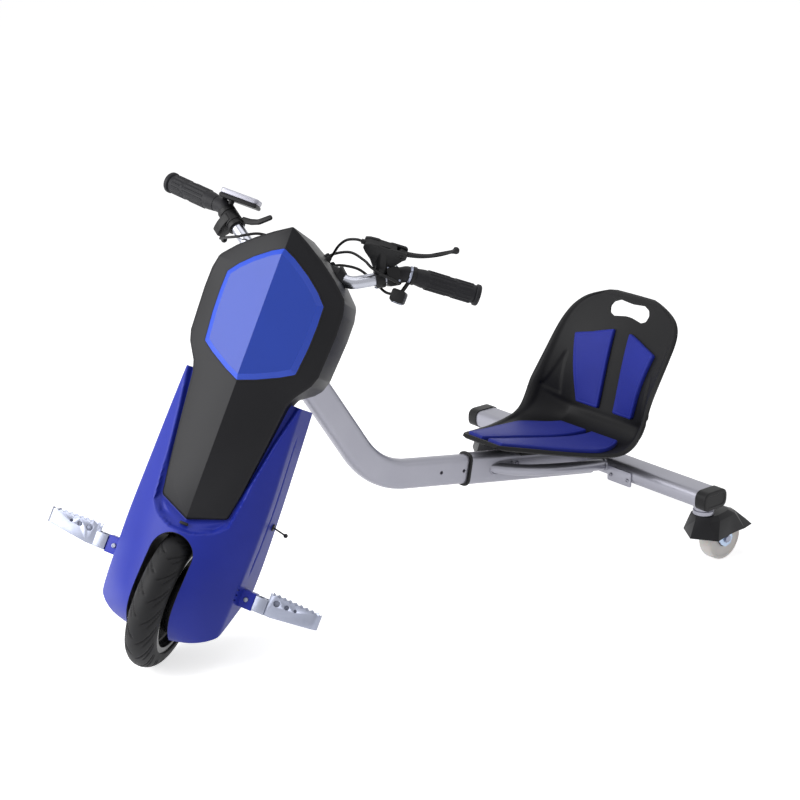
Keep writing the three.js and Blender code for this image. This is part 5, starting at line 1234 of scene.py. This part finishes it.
def makeKnob():
    mesh = bmesh.new()
    foot = knobHole + Vector((-knob["start"], 0, 0))
    outline = []
    for i in range(96):
        angle = fullTurn * i / 96
        wave = abs(math.cos(angle * knob["lobes"] / 2)) ** 0.7
        radius = knob["radius"] - knob["depth"] * (1 - wave)
        outline.append((radius * math.cos(angle), radius * math.sin(angle)))
    plate(mesh, outline, knob["length"], aimed(foot, (-1, 0, 0), tubeWay), 1.6, 3)
    turnProfile(mesh, [(0, 15), (8, 15), (7.4, 16.6), (0, 16.8)], foot, (-1, 0, 0), 32)
    pin, reach = knob["pin"], knob["pinLength"]
    turnProfile(mesh, [(0, -reach), (pin, -reach), (pin, 0), (0, 0)], foot, (-1, 0, 0), 24)
    finishPiece(mesh, "lobed_knob", "controlNylon", "lock_pull", "lock_knob")


# Rear beam with its swivel rings, end caps, braces and bracket plates
beam = {"y": 1004.6, "z": 137.4, "depth": 60, "thick": 34, "half": 328, "round": 15, "face": 5, "skirt": 24,
        "skirtWall": 1.8, "casterX": 299, "ringLow": 103.3,
        "ring": [(0, 0), (18.8, 0), (20, 1.2), (20, 8), (17.8, 9), (17.8, 10.5), (19.4, 11.4),
                 (19.4, 17.5), (0, 17.5)]}


def beamOutline(growth):
    return boxOutline(beam["depth"] + 2 * growth, beam["thick"] + 2 * growth, beam["round"] + growth, 8)


def facesAt(mesh, x):
    return [face for face in mesh.faces if all(abs(vert.co.x - x) < 0.01 for vert in face.verts)]


def makeBeam():
    mesh = bmesh.new()
    y, z = beam["y"], beam["z"]
    reach = beam["half"] - beam["face"] - 0.4
    sweep(mesh, beamOutline(0), [Vector((-reach, y, z)), Vector((reach, y, z))], (0, 1, 0))
    for side in (-1, 1):
        turnProfile(mesh, beam["ring"], (side * beam["casterX"], y, beam["ringLow"]), (0, 0, 1), 56)
    # bracket plates in front of the beam
    for side in (-1, 1):
        place = aimed(Vector((side * 110, y - 32.6, z - 7)), (0, 1, 0), (1, 0, 0))
        plate(mesh, boxOutline(62, 30, 4, 3), 3, place, 0.6, 2)
        for shift in (-22, 22):
            screw(mesh, Vector((side * 110 + shift, y - 32.6, z - 9)), (0, -1, 0), 3.6, 2.6)
    finishPiece(mesh, "cross_beam", "silverPowderCoat", "rear_frame", "rear_beam")
    for side, word in sides:
        mesh = bmesh.new()
        end = side * beam["half"]
        place = aimed(Vector((end - side * beam["skirt"], y, z)), (side, 0, 0), (0, 1, 0))
        plate(mesh, beamOutline(beam["skirtWall"]), beam["skirt"], place)
        bevelled(mesh, [edge for face in facesAt(mesh, end) for edge in face.edges], 2.6, 4)
        sinkFaces(mesh, facesAt(mesh, end), [4.5, 0.7], (-side * 0.9, 0, 0))
        finishPiece(mesh, word + "_beam_cap", "controlNylon", "rear_frame", word + "_end_cap")


brace = {"radius": 11, "startX": 27.6, "startY": 728, "reachX": 62, "inside": (7, 722), "seamX": 16.6,
         "routeShares": [(0.35, 0.16), (0.75, 0.34), (0.95, 0.55), (1.05, 0.78), (1.1, 1)]}


def makeBraces():
    startY = brace["startY"]
    startZ = spine["corner"][2] - (startY - spine["corner"][1]) * math.tan(slope)
    for side, word in sides:
        points = [Vector((side * brace["inside"][0], brace["inside"][1], startZ + 2))]
        for out, back in brace["routeShares"]:
            x = brace["startX"] + out * (brace["reachX"] - brace["startX"])
            y, z = startY + back * (beam["y"] - startY), startZ + (beam["z"] - startZ) * back
            points.append(Vector((side * x, y, z)))
        mesh = bmesh.new()
        path = smoothPath(points)
        sweep(mesh, circleOutline(brace["radius"], 28), path)
        # weld beads where it meets the sleeve and the beam
        seam = [Vector((side * brace["seamX"], 737 + 19 * x, startZ - 1 + 11 * y))
                for x, y in arcOutline(1, 0, fullTurn, 32)]
        sweep(mesh, circleOutline(1.9, 8), seam, scales=[1 + 0.2 * math.sin(i * 2.6) for i in range(33)])
        near = min(path, key=lambda p: abs(p.y - (beam["y"] - beam["depth"] / 2)))
        weldBead(mesh, near, (0, 1, 0), brace["radius"] + 0.3, 1.8)
        finishPiece(mesh, word + "_side_brace", "silverPowderCoat", "rear_frame", word + "_brace")
    softened("seat_bracket", "blackPowderCoat", "rear_frame")


# Seat: one moulded skin, drawn along its middle line and out to raised wings
seat = {"frontY": 703, "lowZ": 181, "length": 415, "rise": 267, "half": 157, "wall": 5, "wing": 74,
        "wingFrom": 0.58, "rows": 150, "columns": 120, "lip": 3.2, "crease": 2.2, "recess": 2.6,
        "rimBand": 16, "creaseAt": 0.585, "recessFrom": 0.60, "recessRun": 0.17, "ribWall": 6,
        "lineShares": [(0, 0.205), (0.235, 0.128), (0.475, 0.045), (0.62, 0.012), (0.73, 0), (0.8, 0.042),
                       (0.826, 0.128), (0.855, 0.303), (0.904, 0.614), (0.95, 0.82), (1, 1)],
        "rowShares": [(0, 0.34, 0), (0.08, 0.47, 0), (0.2, 0.67, 0), (0.355, 0.985, 0.06), (0.43, 1, 0.3),
                      (0.51, 1, 0.75), (0.56, 1, 1), (0.605, 1, 1), (0.685, 0.985, 0.85), (0.77, 0.98, 0.6),
                      (0.85, 0.975, 0.36), (0.91, 0.93, 0.18), (0.96, 0.78, 0.06), (1, 0.4, 0)],
        "wingEdges": {4: (-5, 21), 5: (-39, 45), 6: (-57, 53), 7: (-61, 44), 8: (-61, 18)},
        "dishPowers": [(0.56, 3.6), (0.605, 3.4), (0.685, 2.2), (0.77, 1.8), (1, 1.6)],
        "handle": {"share": 0.943, "half": 53, "height": 35, "waist": 7,
                   "corners": [9, 60, 9, 9, 9, 7, 8, 60, 8, 7, 9, 9]},
        "rib": [(0, 0), (150, 0), (150, -14), (90, -10), (30, -8), (0, -9)]}


# Points of the middle line, each with its distance along the line
def seatLineTable():
    y, z, length, rise = seat["frontY"], seat["lowZ"], seat["length"], seat["rise"]
    dense = smoothPath([Vector((0, y + back * length, z + up * rise)) for back, up in seat["lineShares"]], 40)
    rows = [(0, dense[0])]
    for i in range(1, len(dense)):
        rows.append((rows[-1][0] + (dense[i] - dense[i - 1]).length, dense[i]))
    return rows


seatLine = seatLineTable()
seatRun = seatLine[-1][0]


def lineAt(share):
    goal = max(0, min(1, share)) * seatRun
    i = intervalAt(seatLine, goal)
    (start, here), (end, there) = seatLine[i:i + 2]
    way = (seatLine[min(i + 2, len(seatLine) - 1)][1] - seatLine[max(i - 1, 0)][1]).normalized()
    return here.lerp(there, (goal - start) / (end - start)), Vector((1, 0, 0)).cross(way).normalized()


seatFrames = [(share, seat["half"] * half, seat["wing"] * wing, *lineAt(share))
              for share, half, wing in seat["rowShares"]]
seatHalves = [row[:2] for row in seatFrames]


def rowPoint(i, across):
    last = len(seatFrames) - 1
    if i < 0:
        return rowPoint(0, across) * 2 - rowPoint(1, across)
    if i > last:
        return rowPoint(last, across) * 2 - rowPoint(last - 1, across)
    place, half, wing, centre, up = seatFrames[i]
    # the pan is flat between its wings, the back is dished more and more towards its top
    out = max(0, (abs(across) - seat["wingFrom"]) / (1 - seat["wingFrom"])) ** 1.5
    if place > seat["dishPowers"][0][0]:
        out = abs(across) ** tableAt(seat["dishPowers"], place)
    edge = Vector((0, *seat["wingEdges"][i])) if i in seat["wingEdges"] else up * wing
    return centre + Vector((across * half, 0, 0)) + edge * out


# Point of the skin's top: the rows of the table are the control rows of a smooth sheet
def seatSkin(share, across):
    share = max(0, min(1, share))
    k = intervalAt(seatFrames, share)
    t = (share - seatFrames[k][0]) / (seatFrames[k + 1][0] - seatFrames[k][0])
    weights = ((1 - t) ** 3, 3 * t ** 3 - 6 * t ** 2 + 4, -3 * t ** 3 + 3 * t ** 2 + 3 * t + 1, t ** 3)
    place = Vector((0, 0, 0))
    for i in range(4):
        place += rowPoint(k - 1 + i, across) * weights[i] / 6
    return place


def seatPoint(share, across, height=0):
    here = seatSkin(share, across)
    if height == 0:
        return here
    step = 0.012
    along = seatSkin(min(1, share + step), across) - seatSkin(max(0, share - step), across)
    aside = seatSkin(share, min(1, across + step)) - seatSkin(share, max(-1, across - step))
    return here + aside.cross(along).normalized() * height


# Height of the relief moulded into the skin
def seatRelief(share, across, half):
    height = 0
    # a shallow dished channel runs inside the lip, which rolls down at the edge
    rimGap = min((1 - abs(across)) * half, share * seatRun, (1 - share) * seatRun)
    if rimGap < seat["rimBand"]:
        channel = smoothShare((seat["rimBand"] - rimGap) / 8)
        height += seat["lip"] * (channel - 1.9 * smoothShare((4.5 - rimGap) / 5))
    # crease line between pan and back
    gap = (share - seat["creaseAt"]) * seatRun
    height -= seat["crease"] * math.exp(-(gap / 5) ** 2) * smoothShare((0.92 - abs(across)) / 0.2)
    # three-sided recess in each wing beside the crease
    wingShare = (share - seat["recessFrom"]) / seat["recessRun"]
    if 0 < wingShare < 1:
        inward = 0.93 - 0.17 * wingShare
        depth = min(wingShare * seat["recessRun"] * seatRun, (1 - wingShare) * 30,
                    (abs(across) - 0.70 - 0.02 * wingShare) * half, (inward - abs(across)) * half)
        height -= seat["recess"] * smoothShare(depth / 3.5)
    return height


def makeSeat():
    mesh = gridMesh(seat["columns"], seat["rows"])
    for vert in mesh.verts:
        share, across = (vert.co.y + 1) / 2, vert.co.x
        half = tableAt(seatHalves, share)
        # corners of the top and the front edge are rounded off
        trim = 0
        for edge, reach in ((share, 0.03), (1 - share, 0.05)):
            if edge < reach:
                trim = max(trim, (1 - math.sqrt(max(0, 1 - (1 - edge / reach) ** 2))) * 12)
        placed = across * (half - trim * abs(across) ** 4) / half
        vert.co = seatPoint(share, placed, seatRelief(share, across, half))
    pointSheet(mesh, 2, 1)
    # under side: every point of the top moved down along its own normal, then the rim closed
    mesh.normal_update()
    rims = openEdges(mesh)
    normals = {vert: vert.normal.copy() for vert in mesh.verts}
    lower = bmesh.ops.duplicate(mesh, geom=mesh.verts[:] + mesh.edges[:] + mesh.faces[:])["vert_map"]
    for vert, normal in normals.items():
        lower[vert].co = vert.co - normal * seat["wall"]
    for edge in rims:
        a, b = edge.verts
        mesh.faces.new((a, b, lower[b], lower[a]))
    facesOut(mesh)
    # ribs under the pan that stand on the carrier plate
    for side in (-1, 1):
        place = aimed(alongTube(324, side * 32, spine["sleeveHeight"] / 2 + 3.6), (side, 0, 0), tubeWay)
        plate(mesh, [(x, -side * y) for x, y in seat["rib"]], seat["ribWall"], place, 0.8, 2)
    shell = finishPiece(mesh, "seat_moulding", "seatPolypropylene", "rear_frame", "seat_shell",
                        place=unplaced, sharp=40, normals=False)
    hole = seat["handle"]
    centre, up = lineAt(hole["share"])
    cutter = bmesh.new()
    a, b = hole["half"], hole["height"] / 2
    outline = [(a - 20, b), (0, b - 3), (-a + 20, b), (-a + 5, b - 7), (-a, 0), (-a + 4, -b + 5),
               (-a + 16, -b), (0, -b + hole["waist"]), (a - 16, -b), (a - 4, -b + 5), (a, 0), (a - 5, b - 7)]
    plate(cutter, roundedCorners(outline, hole["corners"], 6), 60, aimed(centre - up * 30, up, (1, 0, 0)))
    carve(shell, [cutter], rearPlace)


pads = {"thick": 8, "round": 2.6, "corner": 4, "gap": 7, "front": 46, "spread": 72, "rows": 90, "columns": 60,
        "cut": 0.7, "crownWidth": 22, "welt": 0.55, "weltAt": 6.5, "weltWidth": 0.9,
        "pan": [(0.022, 0.0), (0.12, 0.27), (0.2, 0.52), (0.355, 1.0), (0.43, 0.74), (0.5, 0.44)],
        "backInner": 21, "backLow": 77, "backSpread": 31, "slant": 0.045,
        "back": [(0.602, 0.0), (0.685, 0.35), (0.77, 0.72), (0.83, 1.0)]}


# A thin moulded cushion: crowned in the middle, its sides drawn in between its corners
def makePad(name, node, side, table, inner, outer, spread, slant=0):
    mesh = gridMesh(pads["columns"], pads["rows"])
    first, last = table[0][0], table[-1][0]
    tall = (last - first) * seatRun
    rim = openEdges(mesh)
    curve, corner = pads["round"], pads["corner"]
    places = {}
    for vert in mesh.verts:
        u, v = (vert.co.x + 1) / 2, (vert.co.y + 1) / 2
        share = first + (last - first) * v + slant * (1 - u) * v * v
        wide = outer + tableAt(table, share) * spread - inner
        edge = min(u * wide, (1 - u) * wide, v * tall, (1 - v) * tall)
        # pull corners round: distance to a corner decides how much they are cut
        gapX, gapY = corner - min(u, 1 - u) * wide, corner - min(v, 1 - v) * tall
        pull = max(0, math.hypot(max(0, gapX), max(0, gapY)) - corner)
        x = inner + u * wide + pull * pads["cut"] * (1 if u < 0.5 else -1)
        share += pull * pads["cut"] * (1 if v < 0.5 else -1) / seatRun
        rounding = 1 if edge >= curve else math.sqrt(max(0, 1 - (1 - edge / curve) ** 2))
        crown = 0.9 + 0.1 * min(1, edge / pads["crownWidth"])
        # a sewn welt runs just inside the edge
        welt = pads["welt"] * math.exp(-((edge - pads["weltAt"]) / pads["weltWidth"]) ** 2)
        height = (pads["thick"] - curve + curve * rounding) * crown - welt
        places[vert] = (share, side * x / tableAt(seatHalves, share))
        vert.co = seatPoint(*places[vert], height)
    for vert in extruded(mesh, rim):
        near = min((e.other_vert(vert) for e in vert.link_edges), key=lambda v: 0 if v in places else 1)
        vert.co = seatPoint(*places[near], 0.3)
    closeOpening(mesh)
    pad = finishPiece(mesh, name, "padLeatherette", "rear_frame", node, sharp=60)


def makePads():
    for side, word in sides:
        makePad(word + "_pan_cushion", word + "_pan_pad", side, pads["pan"], pads["gap"], pads["front"],
                pads["spread"])
        makePad(word + "_back_cushion", word + "_back_pad", side, pads["back"], pads["backInner"],
                pads["backLow"], pads["backSpread"], pads["slant"])


# Casters: side plates, swivel head, hood, wheel and bolt
caster = {"x": 299, "trail": 50, "radius": 44.6, "half": 15, "bolt": 4.5, "plate": 3, "inner": 16,
          "hubRing": 17}


def makeCaster(side, word):
    swivel, roller = word + "_caster", word + "_caster_roller"
    softened(swivel + "_fork", "blueZincPlate", swivel, 0.5)
    softened(swivel + "_hood", "satinBlackAbs", swivel, 1.4, 3, sharp=14)
    axle = Vector((side * caster["x"], beam["y"] + caster["trail"], caster["radius"]))
    r, w, ring = caster["radius"], caster["half"], caster["hubRing"]
    # wheel: rounded tread, dished sides, black bearing ring
    mesh = bmesh.new()
    outline = [(ring, -w + 2.5), (r - 9, -w + 1.5), (r - 7, -w), (r - 2.5, -w + 0.6), (r - 0.6, -w + 6),
               (r, 0), (r - 0.6, w - 6), (r - 2.5, w - 0.6), (r - 7, w), (r - 9, w - 1.5), (ring, w - 2.5)]
    profile = [tuple(p) for p in roundedCorners(outline, [0, 1, 1.5, 4, 6, 0, 6, 4, 1.5, 1, 0], 4)]
    turnProfile(mesh, profile, axle, (1, 0, 0), 80, closed=True)
    finishPiece(mesh, word + "_cast_wheel", "castPolyurethane", roller, word + "_caster_wheel")
    mesh = bmesh.new()
    face = [(5.2, w - 0.4), (8, w - 0.2), (9, w - 1), (14, w - 1.2), (ring + 0.1, w - 1.6)]
    turnProfile(mesh, [(radius, -along) for radius, along in face] + face[::-1], axle, (1, 0, 0), closed=True)
    finishPiece(mesh, word + "_wheel_hub", "hubPaint", roller)
    # bolt with a washer and a nut on each side plate
    mesh = bmesh.new()
    reach = caster["inner"] + caster["plate"]
    for face in (-1, 1):
        start = axle + Vector((face * (reach + 0.3), 0, 0))
        turnProfile(mesh, [(0, 0), (8.4, 0), (8.4, 1.2), (0, 1.2)], start, (face, 0, 0), 32)
        place = aimed(start + Vector((face * 1.2, 0, 0)), (face, 0, 0), (0, 1, 0.4))
        plate(mesh, circleOutline(7.2, 6), 3.2, place, 0.6, 2)
    bolt = [(0, -reach), (caster["bolt"], -reach), (caster["bolt"], reach), (0, reach)]
    turnProfile(mesh, bolt, axle, (1, 0, 0), 24)
    finishPiece(mesh, word + "_wheel_bolt", "zincPlate", swivel, word + "_caster_axle")


makeSpine()
makeSleeve()
makeKnob()
makeBeam()
makeBraces()
makeSeat()
makePads()
for side, word in sides:
    makeCaster(side, word)
print("frame, seat and casters shaped")


# Studio: white floor and soft lamps
studio = {"world": 0.36, "floorGlow": 0.66, "floorSize": 40, "floorDrop": 0.001,
          "lamps": {"leftSoftbox": (-2.1, 0.9, 1.0, 2.3, 74), "topSoftbox": (0.2, 0.2, 2.6, 2.2, 18),
                    "rightFill": (2.4, 0.6, 1.2, 1.6, 4)}}


# One where a ray comes from the camera, a mirror surface or a clear one
def seenDirectly(tree):
    rays = addNode(tree, "ShaderNodeLightPath").outputs
    seen = rays["Is Camera Ray"]
    for kind in ("Is Glossy Ray", "Is Transmission Ray"):
        seen = addNode(tree, "ShaderNodeMath", {"operation": "MAXIMUM"}, {0: seen, 1: rays[kind]}).outputs[0]
    return seen


def makeStudio():
    world = bpy.data.worlds.new("studio")
    bpy.context.scene.world = world
    world.use_nodes = True
    tree = world.node_tree
    tree.nodes.clear()
    soft = addNode(tree, "ShaderNodeBackground", {"Color": (1, 1, 1, 1), "Strength": studio["world"]})
    white = addNode(tree, "ShaderNodeBackground", {"Color": (1, 1, 1, 1), "Strength": 1.0})
    mix = addNode(tree, "ShaderNodeMixShader", {},
                  {0: seenDirectly(tree), 1: soft.outputs[0], 2: white.outputs[0]})
    addNode(tree, "ShaderNodeOutputWorld", {}, {"Surface": mix.outputs[0]})
    floor = meshObject("studio_floor", gridMesh(1, 1, studio["floorSize"]))
    floor.location.z = -studio["floorDrop"]
    # matte paper that also glows a little where it is seen, so that it comes out white
    material, tree = startMaterial("paperFloor")
    matte = addNode(tree, "ShaderNodeBsdfDiffuse", {"Color": (0.93, 0.93, 0.94, 1)})
    glow = addNode(tree, "ShaderNodeEmission", {"Color": (1, 1, 1, 1), "Strength": studio["floorGlow"]})
    both = addNode(tree, "ShaderNodeAddShader", {}, {0: matte.outputs[0], 1: glow.outputs[0]})
    mix = addNode(tree, "ShaderNodeMixShader", {},
                  {0: seenDirectly(tree), 1: matte.outputs[0], 2: both.outputs[0]})
    addNode(tree, "ShaderNodeOutputMaterial", {}, {"Surface": mix.outputs[0]})
    floor.data.materials.append(material)
    focus = rearPlace @ Vector(cameraSetup["focus"])
    aside = Vector((cameraBack.y, -cameraBack.x, 0)).normalized() * -1
    level = Vector((cameraBack.x, cameraBack.y, 0)).normalized()
    for name, (side, back, up, size, power) in studio["lamps"].items():
        light = bpy.data.lights.new(name, "AREA")
        light.size = size
        light.energy = power
        lamp = addObject(name, light)
        lamp.location = focus + aside * side + level * back + Vector((0, 0, up))
        lamp.rotation_euler = (lamp.location - focus).to_track_quat("Z", "Y").to_euler()
    bpy.context.scene.view_settings.view_transform = "Standard"


makeStudio()
print("studio ready, pieces made:", pieceCount["made"])
